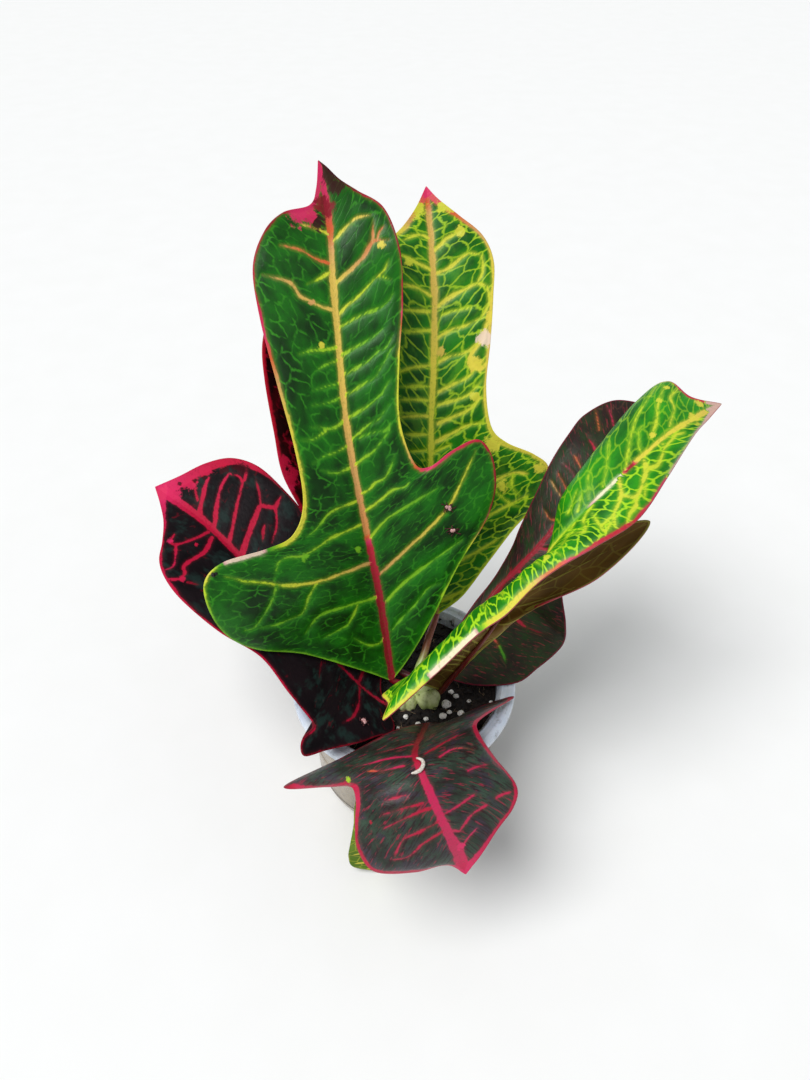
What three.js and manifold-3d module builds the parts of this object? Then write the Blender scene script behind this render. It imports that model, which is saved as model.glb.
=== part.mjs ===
// A potted croton: eight painted leaves on a short stem, in a round white nursery tub.
// Millimetres, +Z up, origin at the middle of the tub's foot, the photographed side towards -Y.
import * as THREE from 'three';
import { mergeVertices } from 'three/addons/utils/BufferGeometryUtils.js';
import Module from 'manifold-3d';

const wasm = await Module();
wasm.setup();

// Tub
const RIM_RADIUS = 50;
const TUB_HEIGHT = 60;
const MOUTH_RADIUS = 43.5;
const NECK_RADIUS = 43;
const FOOT_RADIUS = 41.5;
const FOOT_ROUNDING = 5;
const WALL = 1.2;
const FLOOR = 1.6;
const LIP_DROP = 4;
const DRAIN_HOLES = 6;
const DRAIN_RADIUS = 3;
const DRAIN_CIRCLE = 27;
const TUB_SIDES = 64;
const HOLE_SIDES = 16;
const INNER_RADIUS = NECK_RADIUS - WALL;
// [radius, height]: the outside from the foot up, over the rolled rim, and down the inside.
const TUB_PROFILE = [
  [0, 0], [FOOT_RADIUS - FOOT_ROUNDING, 0], [FOOT_RADIUS - 1.5, 1.5], [FOOT_RADIUS, FOOT_ROUNDING],
  [NECK_RADIUS, TUB_HEIGHT - 3], [NECK_RADIUS + 1, TUB_HEIGHT - 1.6], [RIM_RADIUS - 2.5, TUB_HEIGHT - 1.4],
  [RIM_RADIUS - 1.2, TUB_HEIGHT - 2.2], [RIM_RADIUS - 1, TUB_HEIGHT - LIP_DROP],
  [RIM_RADIUS, TUB_HEIGHT - LIP_DROP], [RIM_RADIUS, TUB_HEIGHT - 1.6], [RIM_RADIUS - 1, TUB_HEIGHT - 0.4],
  [RIM_RADIUS - 2.5, TUB_HEIGHT], [MOUTH_RADIUS, TUB_HEIGHT - 0.4], [INNER_RADIUS, TUB_HEIGHT - 3],
  [FOOT_RADIUS - WALL, FOOT_ROUNDING], [FOOT_RADIUS - FOOT_ROUNDING, FLOOR], [0, FLOOR],
];

// Soil and stem
const SOIL_TOP = 53;
const SOIL_RISE = 1.2;
const SOIL_SIDES = 48;
const SOIL_RINGS = [0.97, 0.75, 0.5, 0.25];
const STEM_RADIUS = 5.5;
const STEM_TOP_RADIUS = 2;
const STEM_FOOT = [9, -5, 40];
const STEM_HEIGHT = 24;
const STEM_SIDES = 16;
// [part of the stem's radius, height over its foot]
const STEM_STEPS = [[0.8, 0], [1, 10], [1.05, 16], [0.8, 21]];
const GAP = 0.3;

// Leaves
const BLADE_HALF = 0.35;
const KEEL_AT_BASE = 1.5;
const KEEL_AT_TIP = 0.5;
const PETIOLE_RADIUS = 1.7;
const PETIOLE_SIDES = 8;
const BLADE_ROWS = 26;
const ACROSS = [0, 0.06, 0.36, 0.7, 1];
const CURL_SPAN = 50;
const SMALLEST_STEP = 0.02;

// Where the photograph was taken from, which the tub's rim gives, and its frame in pixels.
const EYE = new THREE.Vector3(0.5, -233, 352);
const EYE_TILT = THREE.MathUtils.degToRad(42);
const EYE_FOCAL = 820;
const FRAME_MIDDLE = [405, 540];

// The place at a height above the table that is seen at a pixel: [across, down, height].
function seen([across, down, height]) {
  const x = (across - FRAME_MIDDLE[0]) / EYE_FOCAL;
  const y = (FRAME_MIDDLE[1] - down) / EYE_FOCAL;
  const ray = new THREE.Vector3(
    x,
    Math.cos(EYE_TILT) + y * Math.sin(EYE_TILT),
    y * Math.cos(EYE_TILT) - Math.sin(EYE_TILT),
  );
  return EYE.clone().addScaledVector(ray, (height - EYE.z) / ray.z);
}

// Leaves whose halves are nearly flat. midrib: points [across, down, height].
// pose: [part of the length, roll, left fold, right fold, left curl, right curl] in degrees, the curl over
// CURL_SPAN.
// ribs: [root on the midrib, left half's width, left end along, right half's width, right end along].
const FRONT_GREEN = {
  midrib: [
    [392, 681, 60], [380, 600, 95], [360, 500, 136], [346, 421, 165], [334, 290, 208],
    [329, 220, 230], [318, 160, 249],
  ],
  pose: [[0, 0, 12, 22, -6, -6], [0.45, 0, 12, 22, -6, -8], [0.7, 0, 8, 10, -8, -8], [1, 0, 6, 6, -8, -8]],
  ribs: [
    [0, 0, 0, 0, 0], [8, -14, 10, 10, 12], [20, -36, 24, 22, 29], [32, -56, 34, 37, 50],
    [42, -67, 46, 51, 66], [50, -72, 60, 57, 80], [56, -71, 72, 57, 93], [62, -62, 77, 52, 101],
    [70, -44, 77, 41, 98], [78, -32, 79, 31, 93], [88, -25, 90, 25, 96], [103, -23, 110, 22, 116],
    [122, -26, 134, 24, 140], [142, -30, 159, 27, 163], [160, -31, 178, 27, 184], [176, -26, 192, 22, 198],
    [190, -18, 200, 13, 205], [202, -7, 202, 7, 210], [211, -3, 208, 3, 215], [218, 0, 218, 0, 218],
  ],
  stalk: [[9, -4, 56], [3, -3, 57]],
};

const BACK_GREEN = {
  midrib: [
    [437, 615, 78], [431, 459, 138], [434, 354, 176], [434.6, 301, 194], [432, 252, 210], [426, 186, 231],
  ],
  pose: [[0, 0, -10, -8, -6, -8], [0.5, 0, 6, 4, -8, -8], [1, 0, 6, 6, -8, -8]],
  ribs: [
    [0, 0, 0, 0, 0], [6, -8, 8, 12, 7], [14, -16, 22, 24, 20], [24, -26, 40, 37, 34],
    [33, -34, 56, 49, 46], [42, -36, 68, 53, 60], [50, -32, 77, 46, 67], [58, -26, 82, 33, 73],
    [68, -24, 88, 26, 80], [82, -22, 100, 23, 96], [98, -23, 116, 24, 114], [114, -25, 132, 25, 130],
    [130, -25, 144, 26, 143], [144, -19, 152, 22, 153], [156, -11, 159, 13, 161], [166, -5, 166, 5, 168],
    [174, 0, 174, 0, 174],
  ],
  stalk: [[9, -4, 58], [6, -2, 64], [9, 5, 69], [11, 11, 73]],
};

const LEFT_DARK = {
  midrib: [
    [385, 704, 61], [361, 686.5, 66], [295, 620, 86], [237, 555, 100], [203, 521, 107], [155, 487, 112],
  ],
  pose: [
    [0, 0, 15, -20, -18, 4], [0.35, -3, 22, 0, -14, 0], [0.6, -8, 20, 16, -10, -8], [1, -14, 10, 14, -8, -8],
  ],
  ribs: [
    [0, 0, 0, 0, 0], [4, -9, -9, 7, 5], [8, -18, -4, 17, 11], [12, -27, 3, 27, 18], [16, -36, 8, 33, 26],
    [20, -44, 12, 38, 34], [24, -40, 17, 40, 42], [28, -32, 17, 40, 48], [32, -30, 26, 37, 53],
    [36, -29, 34, 33, 58], [48, -27, 50, 28, 68], [62, -32, 66, 30, 78],
    [76, -35, 84, 35, 90], [90, -34, 99, 36, 104], [104, -30, 111, 36, 118], [117, -22, 120, 32, 129],
    [129, -13, 130, 23, 137], [140, -6, 140, 11, 143], [150, 0, 150, 0, 150],
  ],
  stalk: [[8, -6, 53], [-1, -11, 57]],
};

const BACK_LEFT_DARK = {
  midrib: [[394, 668, 62], [372, 560, 105], [340, 400, 163], [306, 290, 199], [290, 255, 211]],
  pose: [[0, 8, 10, 10, -6, -6], [1, 12, 6, 6, -8, -8]],
  ribs: [
    [0, 0, 0, 0, 0], [8, -10, 10, 4, 10], [20, -22, 26, 5, 24], [32, -34, 44, 6, 40],
    [44, -36, 58, 7, 54], [56, -28, 68, 8, 66], [68, -27, 76, 8, 78], [84, -33, 96, 9, 96],
    [102, -33, 115, 10, 114], [120, -32, 136, 12, 134], [138, -29, 150, 14, 150], [154, -22, 162, 14, 163],
    [168, -13, 173, 11, 174], [178, -5, 181, 5, 181], [186, 0, 186, 0, 186],
  ],
  stalk: [[8, -2, 58], [2, 1, 59]],
};

const RIGHT_DARK = {
  midrib: [[440, 676, 62], [493, 595, 93], [542, 543, 115], [600, 468, 140], [650, 405, 153]],
  pose: [
    [0, 0, 0, -25, -4, -4], [0.3, 0, 0, -42, -4, -4], [0.55, 0, 0, -20, -6, -6], [1, 0, 0, 0, -6, -6],
  ],
  ribs: [
    [0, 0, 0, 0, 0], [8, -4, 10, 15, 5], [18, -5, 22, 30, 15], [28, -5, 36, 35, 26],
    [38, -5, 46, 38, 37], [46, -7, 54, 37, 48], [54, -11, 64, 31, 58], [64, -14, 74, 18, 68],
    [78, -18, 92, 10, 84], [94, -21, 108, 8, 102], [110, -22, 123, 8, 120], [124, -22, 137, 8, 134],
    [138, -15, 150, 7, 146], [155, 0, 155, 0, 155],
  ],
  stalk: [[9, -3, 60], [12, -2.5, 61]],
};

// Leaves with halves that fold and roll: each row is [midrib, left bend, left edge, right bend, right edge],
// every entry [across, down, height]; the bend pulls the rib's curve, and a row of one entry is a point.
const FRONT_CRIMSON = {
  rows: [
    [[428, 723, 57]],
    [[424, 731, 66], [438, 724, 66], [446, 722, 65], [417, 729, 66], [412, 725.5, 65]],
    [[420, 739, 74], [448, 724, 74], [477, 708, 68], [405, 736, 74], [388, 733, 72]],
    [[417, 746, 80], [470, 712, 78], [513, 697, 63], [375, 752, 80], [341, 759, 72]],
    [[415, 752, 84], [462, 722, 80], [496, 708, 66], [350, 768, 83], [284, 787, 66]],
    [[416, 759, 87], [450, 738, 84], [478, 722, 71], [365, 780, 86], [327, 786, 72]],
    [[418, 766, 88], [450, 748, 86], [480, 734, 74], [378, 785, 87], [350, 786, 76]],
    [[423, 777, 88], [462, 756, 87], [495, 757, 76], [382, 795, 87], [356, 800, 78]],
    [[430, 793, 85], [475, 768, 85], [516, 785, 76], [390, 815, 84], [355, 826, 72]],
    [[437, 809, 80], [482, 790, 80], [514, 806, 71], [395, 835, 78], [358, 850, 64]],
    [[446, 829, 72], [478, 815, 72], [497, 830, 64], [408, 855, 70], [375, 871, 56]],
    [[455, 846, 63], [470, 842, 62], [482, 853, 57], [430, 862, 62], [415, 871.5, 54]],
    [[461, 861, 54], [466, 860, 54], [471, 867, 51], [452, 866, 53], [447, 864, 51]],
    [[466, 874, 48]],
  ],
  stalk: [[10, -22, 44], [10, -22, 51]],
};

const RIGHT_FOLDED = {
  rows: [
    [[440, 690, 58]],
    [[450, 678, 66], [453, 676, 66], [456, 677, 66], [425, 665, 74], [412, 684, 70]],
    [[460, 666, 74], [464, 664, 74], [468, 664, 75], [422, 662, 86], [383, 694, 84]],
    [[465, 660, 78], [469, 658.5, 78], [474, 658, 79], [423, 648, 95], [388, 704, 88]],
    [[470, 654, 82], [474, 653, 82], [480, 652, 83], [424, 634, 104], [385.5, 719, 92]],
    [[482, 640, 90], [488, 640, 89], [496, 638, 90], [440, 615, 112], [440, 671, 102]],
    [[500, 617, 101], [520, 622, 104], [530, 609, 106], [466, 590, 122], [478, 635, 116]],
    [[512, 603, 108], [570, 585, 110], [600, 577, 114], [500, 570, 130], [506, 615, 124]],
    [[524, 588, 115], [590, 550, 117], [650, 522, 120], [530, 545, 138], [535, 586, 130]],
    [[537, 571, 122], [565, 545, 123], [585, 530, 123], [560, 530, 142], [562, 566, 136]],
    [[556, 543, 132], [556, 510, 138], [560, 508, 134], [592, 520, 146], [597, 546, 142]],
    [[590, 506, 145], [575, 470, 152], [590, 460, 146], [620, 508, 150], [638, 520, 146]],
    [[629, 469, 153], [612, 425, 160], [640, 398, 156], [650, 478, 155], [667, 478, 150]],
    [[666, 436, 158], [650, 400, 164], [668, 381, 162], [682, 442, 157], [693, 437, 154]],
    [[695, 418, 158], [685, 404, 160], [692, 397, 160], [702, 420, 157], [709, 419, 156]],
    [[722, 404, 155]],
  ],
  stalk: [[9, -5, 53], [12, -5.5, 55]],
};

const LOW_FRONT = {
  rows: [
    [[396, 742, 68]],
    [[388, 765, 68], [380, 766, 67], [374, 768, 66], [396, 765, 67], [402, 766, 66]],
    [[380, 795, 51], [366, 798, 50], [356, 800, 48], [394, 797, 50], [404, 798, 48]],
    [[375, 822, 32], [364, 824, 31], [353.5, 825, 29], [390, 824, 31], [402, 824, 29]],
    [[373, 840, 20], [362, 842, 19], [350, 845, 17], [388, 842, 19], [402, 843, 17]],
    [[373, 856, 10], [360, 857, 10], [348.5, 857, 9], [388, 857, 10], [398, 856, 9]],
    [[375, 866, 4], [364, 867, 5], [354, 867, 4], [384, 866, 5], [392, 865, 4]],
    [[380, 871, 1.5]],
  ],
  stalk: [[3, -25, 46], [2, -28, 55], [0, -34, 62]],
};

// The stem's two knobs at the soil: a place as seen, and half sizes.
const KNOBS = [
  [[428.5, 699, 56], [5.3, 5.2, 5.5]],
  [[407, 702, 55], [4.8, 4.5, 4.6]],
];

// The curled white bit of dry tissue on the front crimson leaf.
const CURL_RADIUS = 0.5;
const CURL_SIDES = 6;
const CURL_LINE = [[417.5, 760, 89.4], [422, 763.5, 89.8], [421.5, 769.5, 90.2], [411, 774, 90]];

// Small things lying on blades: name, leaf, distance out and along in mm, length and width, turn.
const FALLEN_HALF = 0.9;
const FALLEN = [
  ['dried_flower_1', FRONT_GREEN, 36, 74.5, [7, 3.4], 0.4],
  ['dried_flower_2', FRONT_GREEN, 36, 64.5, [7, 3.4], 0.9],
  ['dried_flower_3', LEFT_DARK, -16, 4, [6, 2.6], 0.2],
  ['dark_speck', FRONT_GREEN, -66.5, 73, [2.2, 1.6], 0],
];

// Perlite grains lying on the soil: [across, down, radius].
const GRAIN_FLATNESS = 0.8;
const PERLITE = [
  [451, 692, 1.2], [456, 696, 1.2], [446, 704, 2.2], [443, 716, 1.6], [449.5, 712, 1.1], [461, 713, 1.5],
  [469, 701, 0.9], [491, 702, 0.8], [426, 719, 1.1], [418, 724, 1.2], [406, 717, 1.2], [398, 728, 0.8],
];

// Smooth curve through places.
function smooth(places) {
  return new THREE.CatmullRomCurve3(places, false, 'catmullrom', 0.5);
}

// The value of every setting of a pose at a part of the length.
function poseAt(pose, part) {
  const next = Math.max(1, pose.findIndex((stop) => stop[0] >= part));
  const [a, b] = [pose[next - 1], pose[next]];
  const mix = THREE.MathUtils.clamp((part - a[0]) / (b[0] - a[0]), 0, 1);
  return a.map((value, k) => THREE.MathUtils.lerp(value, b[k], mix));
}

// A function that gives the place on a nearly flat blade at a distance out from the midrib and along it.
function bladeSurface({ midrib, pose }) {
  const spine = smooth(midrib.map(seen));
  spine.arcLengthDivisions = 400;
  const length = spine.getLength();
  const place = (out, along) => {
    const part = THREE.MathUtils.clamp(along / length, 0, 1);
    const ahead = spine.getTangentAt(part);
    const root = spine.getPointAt(part).addScaledVector(ahead, along - part * length);
    const [, roll, leftFold, rightFold, leftCurl, rightCurl] = poseAt(pose, part);
    const level = new THREE.Vector3(ahead.y, -ahead.x, 0).normalize();
    const upright = new THREE.Vector3().crossVectors(level, ahead);
    const turn = THREE.MathUtils.degToRad(roll);
    const side = level.clone().multiplyScalar(Math.cos(turn)).addScaledVector(upright, -Math.sin(turn));
    const face = upright.clone().multiplyScalar(Math.cos(turn)).addScaledVector(level, Math.sin(turn));
    const fold = THREE.MathUtils.degToRad(out > 0 ? rightFold : leftFold);
    const curl = THREE.MathUtils.degToRad(out > 0 ? rightCurl : leftCurl) / CURL_SPAN || 1e-6;
    const reach = Math.abs(out);
    const across = (Math.sin(fold + curl * reach) - Math.sin(fold)) / curl;
    const lift = (Math.cos(fold) - Math.cos(fold + curl * reach)) / curl;
    return root.addScaledVector(side, across * Math.sign(out)).addScaledVector(face, lift);
  };
  return { length, place };
}

// Five rails of a nearly flat blade; the bends make each rib pass through the surface half way out.
function flatRails(leaf) {
  const { length, place } = bladeSurface(leaf);
  const scale = length / leaf.ribs.at(-1)[0];
  const bend = (root, edge, out, along) => place(out, along).multiplyScalar(2)
    .addScaledVector(root, -0.5).addScaledVector(edge, -0.5);
  const rows = leaf.ribs.map(([start, leftOut, leftAlong, rightOut, rightAlong]) => {
    const root = place(0, start * scale);
    const left = place(leftOut, leftAlong * scale);
    const right = place(rightOut, rightAlong * scale);
    const leftBend = bend(root, left, leftOut / 2, (leftAlong + start) / 2 * scale);
    const rightBend = bend(root, right, rightOut / 2, (rightAlong + start) / 2 * scale);
    return [root, leftBend, left, rightBend, right];
  });
  return railsFrom(rows);
}

// Five rails of a leaf given row by row.
function foldedRails({ rows }) {
  return railsFrom(rows.map((row) => [0, 1, 2, 3, 4].map((k) => seen(row[k] ?? row[0]))));
}

function railsFrom(rows) {
  return [0, 1, 2, 3, 4].map((k) => smooth(rows.map((row) => row[k])));
}

// One rib, left margin to right margin, at a part of the rails' length.
function rib(rails, part) {
  const [root, leftBend, left, rightBend, right] = rails.map((rail) => rail.getPoint(part));
  const leftHalf = new THREE.QuadraticBezierCurve3(root, leftBend, left);
  const rightHalf = new THREE.QuadraticBezierCurve3(root, rightBend, right);
  const leftPlaces = ACROSS.slice(1).reverse().map((out) => leftHalf.getPoint(out));
  return [...leftPlaces, root, ...ACROSS.slice(1).map((out) => rightHalf.getPoint(out))];
}

// The upward direction at a grid place, from its neighbours; the end rows use their neighbour's midrib.
function facing(grid, row, column) {
  const last = grid.length - 1;
  const middle = ACROSS.length - 1;
  const atEnd = row === 0 || row === last;
  const r = THREE.MathUtils.clamp(row, 1, last - 1);
  const c = atEnd ? middle : column;
  const along = grid[r + 1][c].clone().sub(grid[r - 1][c]);
  const across = grid[r][Math.min(c + 1, 2 * middle)].clone().sub(grid[r][Math.max(c - 1, 0)]);
  return across.cross(along).normalize();
}

// Closed thin solid of a blade, thicker underneath along its midrib. Both sides split a square along the same
// diagonal, so a twisted square keeps its thickness.
function bladeSolid(rails) {
  const grid = [];
  for (let row = 0; row <= BLADE_ROWS; row += 1) {
    grid.push(rib(rails, row / BLADE_ROWS));
  }
  const columns = 2 * ACROSS.length - 1;
  const middle = ACROSS.length - 1;
  const places = [];
  grid.forEach((line, row) => line.forEach((place, column) => {
    const up = facing(grid, row, column);
    const keel = THREE.MathUtils.lerp(KEEL_AT_BASE, KEEL_AT_TIP, row / BLADE_ROWS);
    const below = column === middle ? keel : BLADE_HALF;
    places.push(place.clone().addScaledVector(up, BLADE_HALF), place.clone().addScaledVector(up, -below));
  }));
  const top = (row, column) => 2 * (row * columns + column);
  const faces = [];
  const quad = (a, b, c, d) => faces.push(a, b, c, a, c, d);
  for (let row = 0; row < BLADE_ROWS; row += 1) {
    for (let column = 0; column < columns - 1; column += 1) {
      const [near, far] = [top(row, column), top(row + 1, column)];
      quad(near, near + 2, far + 2, far);
      quad(near + 1, far + 1, far + 3, near + 3);
    }
    const [left, nextLeft] = [top(row, 0), top(row + 1, 0)];
    quad(left, nextLeft, nextLeft + 1, left + 1);
    const [right, nextRight] = [top(row, columns - 1), top(row + 1, columns - 1)];
    quad(nextRight, right, right + 1, nextRight + 1);
  }
  const geometry = new THREE.BufferGeometry().setFromPoints(places);
  geometry.setIndex(faces);
  return solid(geometry);
}

// Manifold solid of a closed geometry, its coincident vertices merged.
function solid(source) {
  const bare = source.clone();
  bare.deleteAttribute('normal');
  bare.deleteAttribute('uv');
  const merged = mergeVertices(bare, 1e-3);
  const index = merged.index.array;
  const kept = [];
  for (let k = 0; k < index.length; k += 3) {
    const [a, b, c] = [index[k], index[k + 1], index[k + 2]];
    if (a !== b && b !== c && c !== a) {
      kept.push(a, b, c);
    }
  }
  const vertProperties = new Float32Array(merged.attributes.position.array);
  const triVerts = new Uint32Array(kept);
  return new wasm.Manifold(new wasm.Mesh({ numProp: 3, vertProperties, triVerts }));
}

// Round rod along a smooth curve.
function rod(places, radius, sides = PETIOLE_SIDES) {
  const section = new THREE.Shape();
  section.setFromPoints(new THREE.EllipseCurve(0, 0, radius, radius).getSpacedPoints(sides).slice(0, sides));
  const extrudePath = smooth(places);
  const steps = Math.max(4, Math.round(extrudePath.getLength() / 4));
  return solid(new THREE.ExtrudeGeometry(section, { steps, bevelEnabled: false, extrudePath }));
}

// Rounded knob: a sphere stretched along its axes.
function knob(place, [x, y, z], detail = 12) {
  const ball = new THREE.SphereGeometry(1, detail, Math.round(detail * 0.6));
  ball.scale(x, y, z);
  ball.translate(place.x, place.y, place.z);
  return solid(ball);
}

// Profile turned about the vertical axis.
function turned(profile, sides) {
  const lathe = new THREE.LatheGeometry(profile.map(([r, z]) => new THREE.Vector2(r, z)), sides);
  lathe.rotateX(Math.PI / 2);
  return solid(lathe);
}

function stemSolid(grow) {
  const flank = STEM_STEPS.map(([part, z]) => [STEM_RADIUS * part + grow, z]);
  const top = STEM_HEIGHT + grow;
  const trunk = turned([[0, 0], ...flank, [STEM_TOP_RADIUS + grow, top], [0, top]], STEM_SIDES);
  const grown = KNOBS.map(([spot, sizes]) => knob(seen(spot), sizes.map((size) => size + grow)));
  return grown.reduce((body, ball) => body.add(ball), trunk.translate(STEM_FOOT));
}

function tubSolid() {
  const holes = Array.from({ length: DRAIN_HOLES }, (_, k) => {
    const turn = (k + 0.5) * 2 * Math.PI / DRAIN_HOLES;
    const drill = new THREE.CylinderGeometry(DRAIN_RADIUS, DRAIN_RADIUS, 4 * FLOOR, HOLE_SIDES);
    drill.rotateX(Math.PI / 2);
    return solid(drill.translate(DRAIN_CIRCLE * Math.cos(turn), DRAIN_CIRCLE * Math.sin(turn), 0));
  });
  return holes.reduce((body, hole) => body.subtract(hole), turned(TUB_PROFILE, TUB_SIDES));
}

// Height of the soil, slightly mounded round the stem.
function soilHeight(radius) {
  return SOIL_TOP + SOIL_RISE * Math.cos(Math.min(radius / NECK_RADIUS, 1) * Math.PI / 2);
}

function soilSolid(stem, buriedStalks) {
  const edge = INNER_RADIUS - GAP;
  const foot = FOOT_RADIUS - WALL - GAP;
  const top = SOIL_RINGS.map((part) => [edge * part, soilHeight(edge * part)]);
  const heap = turned([
    [0, FLOOR + GAP], [foot - FOOT_ROUNDING, FLOOR + GAP], [foot - 0.4, FOOT_ROUNDING + 1],
    [edge - GAP, SOIL_TOP - 2], ...top, [0, soilHeight(0)],
  ], SOIL_SIDES);
  return buriedStalks.reduce((body, stalk) => body.subtract(stalk), heap.subtract(stem));
}

// A leaf's blade joined to its petiole, cut clear of the stem.
function leafSolid(leaf, stem) {
  const rails = leaf.rows ? foldedRails(leaf) : flatRails(leaf);
  const stalk = stalkPlaces(leaf, rails);
  return bladeSolid(rails).add(rod(stalk, PETIOLE_RADIUS)).subtract(stem).simplify(SMALLEST_STEP);
}

// The petiole runs from its start into the blade's base, under the midrib.
function stalkPlaces(leaf, rails) {
  const start = leaf.stalk.map((place) => new THREE.Vector3(...place));
  const below = new THREE.Vector3(0, 0, -KEEL_AT_BASE / 2);
  return [...start, rails[0].getPoint(0), rails[0].getPoint(1 / BLADE_ROWS).add(below)];
}

// A small thing lying on a nearly flat blade's upper side.
function onBlade(leaf, out, along, lift) {
  const { place } = bladeSurface(leaf);
  const at = place(out, along);
  const up = place(out + 1, along).sub(at).cross(place(out, along + 1).sub(at)).normalize();
  return { at: at.addScaledVector(up, BLADE_HALF + GAP + lift), up };
}

function fallenBit(leaf, out, along, [length, width], turn) {
  const { at, up } = onBlade(leaf, out, along, FALLEN_HALF);
  const bud = new THREE.SphereGeometry(1, 10, 6).scale(length / 2, width / 2, FALLEN_HALF).rotateZ(turn);
  bud.applyQuaternion(new THREE.Quaternion().setFromUnitVectors(new THREE.Vector3(0, 0, 1), up));
  return solid(bud.translate(at.x, at.y, at.z));
}

function perliteGrain([across, down, radius]) {
  const rough = seen([across, down, SOIL_TOP + radius]);
  const half = radius * GRAIN_FLATNESS;
  const height = soilHeight(Math.hypot(rough.x, rough.y)) + half + GAP;
  return knob(seen([across, down, height]), [radius, radius * 0.85, half], 8);
}

// Plain colours; the finish of every surface is made elsewhere.
const MATERIALS = {
  tub: { color: 0xc9cdd2, roughness: 0.35, metalness: 0 },
  soil: { color: 0x17110f, roughness: 0.95, metalness: 0 },
  stem: { color: 0xa9b77c, roughness: 0.6, metalness: 0 },
  deepGreen: { color: 0x1f4d1a, roughness: 0.35, metalness: 0 },
  limeGreen: { color: 0x6f9a23, roughness: 0.35, metalness: 0 },
  purple: { color: 0x2b1620, roughness: 0.4, metalness: 0 },
  greyGreen: { color: 0x3b3f34, roughness: 0.4, metalness: 0 },
  perlite: { color: 0xdcd8cf, roughness: 0.8, metalness: 0 },
  dried: { color: 0x8a3a3c, roughness: 0.8, metalness: 0 },
};

function mesh(name, body, material) {
  const { vertProperties, triVerts } = body.getMesh();
  const geometry = new THREE.BufferGeometry();
  geometry.setAttribute('position', new THREE.BufferAttribute(new Float32Array(vertProperties), 3));
  geometry.setIndex(new THREE.BufferAttribute(new Uint32Array(triVerts), 1));
  geometry.computeVertexNormals();
  const piece = new THREE.Mesh(geometry, new THREE.MeshStandardMaterial(MATERIALS[material]));
  piece.name = name;
  return piece;
}

const LEAVES = [
  ['leaf_front_green', FRONT_GREEN, 'deepGreen'],
  ['leaf_back_green', BACK_GREEN, 'limeGreen'],
  ['leaf_right_folded', RIGHT_FOLDED, 'limeGreen'],
  ['leaf_left_dark', LEFT_DARK, 'purple'],
  ['leaf_back_left_dark', BACK_LEFT_DARK, 'purple'],
  ['leaf_right_dark', RIGHT_DARK, 'greyGreen'],
  ['leaf_front_crimson', FRONT_CRIMSON, 'greyGreen'],
  ['leaf_low_front', LOW_FRONT, 'deepGreen'],
];

function buriedStalk(leaf) {
  return rod(stalkPlaces(leaf, foldedRails(leaf)), PETIOLE_RADIUS + GAP);
}

const croton = new THREE.Group();
const grownStem = stemSolid(GAP);
croton.add(mesh('tub', tubSolid(), 'tub'));
croton.add(mesh('soil', soilSolid(grownStem, [buriedStalk(FRONT_CRIMSON), buriedStalk(LOW_FRONT)]), 'soil'));
croton.add(mesh('stem', stemSolid(0), 'stem'));
LEAVES.forEach(([name, leaf, material]) => croton.add(mesh(name, leafSolid(leaf, grownStem), material)));
PERLITE.forEach((grain, k) => croton.add(mesh(`perlite_${k + 1}`, perliteGrain(grain), 'perlite')));
FALLEN.forEach(([name, ...where]) => croton.add(mesh(name, fallenBit(...where), 'dried')));
croton.add(mesh('white_curl', rod(CURL_LINE.map(seen), CURL_RADIUS, CURL_SIDES), 'perlite'));

export default croton;
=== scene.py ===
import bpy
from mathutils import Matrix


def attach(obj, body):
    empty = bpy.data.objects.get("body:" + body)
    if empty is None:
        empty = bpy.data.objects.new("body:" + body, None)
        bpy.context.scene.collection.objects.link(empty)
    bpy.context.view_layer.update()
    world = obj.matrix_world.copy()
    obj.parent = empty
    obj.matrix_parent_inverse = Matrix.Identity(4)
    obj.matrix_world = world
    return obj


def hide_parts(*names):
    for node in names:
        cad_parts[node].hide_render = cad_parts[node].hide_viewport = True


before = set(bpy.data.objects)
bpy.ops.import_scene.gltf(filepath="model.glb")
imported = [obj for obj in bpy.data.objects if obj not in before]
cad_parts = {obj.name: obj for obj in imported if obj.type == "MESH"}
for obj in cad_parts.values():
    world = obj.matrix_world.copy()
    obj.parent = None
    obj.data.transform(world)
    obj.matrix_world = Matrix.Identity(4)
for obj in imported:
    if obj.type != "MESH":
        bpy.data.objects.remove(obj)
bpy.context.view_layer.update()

import math
import random

import bmesh
import bpy
import numpy as np
from mathutils import Matrix, Vector, noise

scene = bpy.context.scene
MM = 0.001
FULL_TURN = 2 * math.pi

# ---------------------------------------------------------------- where the photograph was taken from

EYE = np.array([0.5, -233.0, 352.0])
EYE_TILT = math.radians(42)
EYE_FOCAL = 820
PHOTO_WIDTH = 810
PHOTO_HEIGHT = 1080
AHEAD = np.array([0, math.cos(EYE_TILT), -math.sin(EYE_TILT)])
ABOVE = np.array([0, math.sin(EYE_TILT), math.cos(EYE_TILT)])


def seen(across, down, height):
    """The place in mm, at a height above the table, that a photo pixel shows."""
    x = (across - PHOTO_WIDTH / 2) / EYE_FOCAL
    y = (PHOTO_HEIGHT / 2 - down) / EYE_FOCAL
    ray = AHEAD + y * ABOVE + np.array([x, 0, 0])
    return EYE + ray * (height - EYE[2]) / ray[2]


def photo_pixels(places):
    """The photo pixels that show places in mm."""
    away = places - EYE
    depth = away @ AHEAD
    across = PHOTO_WIDTH / 2 + EYE_FOCAL * away[:, 0] / depth
    down = PHOTO_HEIGHT / 2 - EYE_FOCAL * (away @ ABOVE) / depth
    return np.stack([across, down], -1)


def nearest(pixels, pixel):
    """The number of the pixel in a list that lies nearest to another."""
    return np.argmin(((pixels - pixel) ** 2).sum(1))


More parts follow.
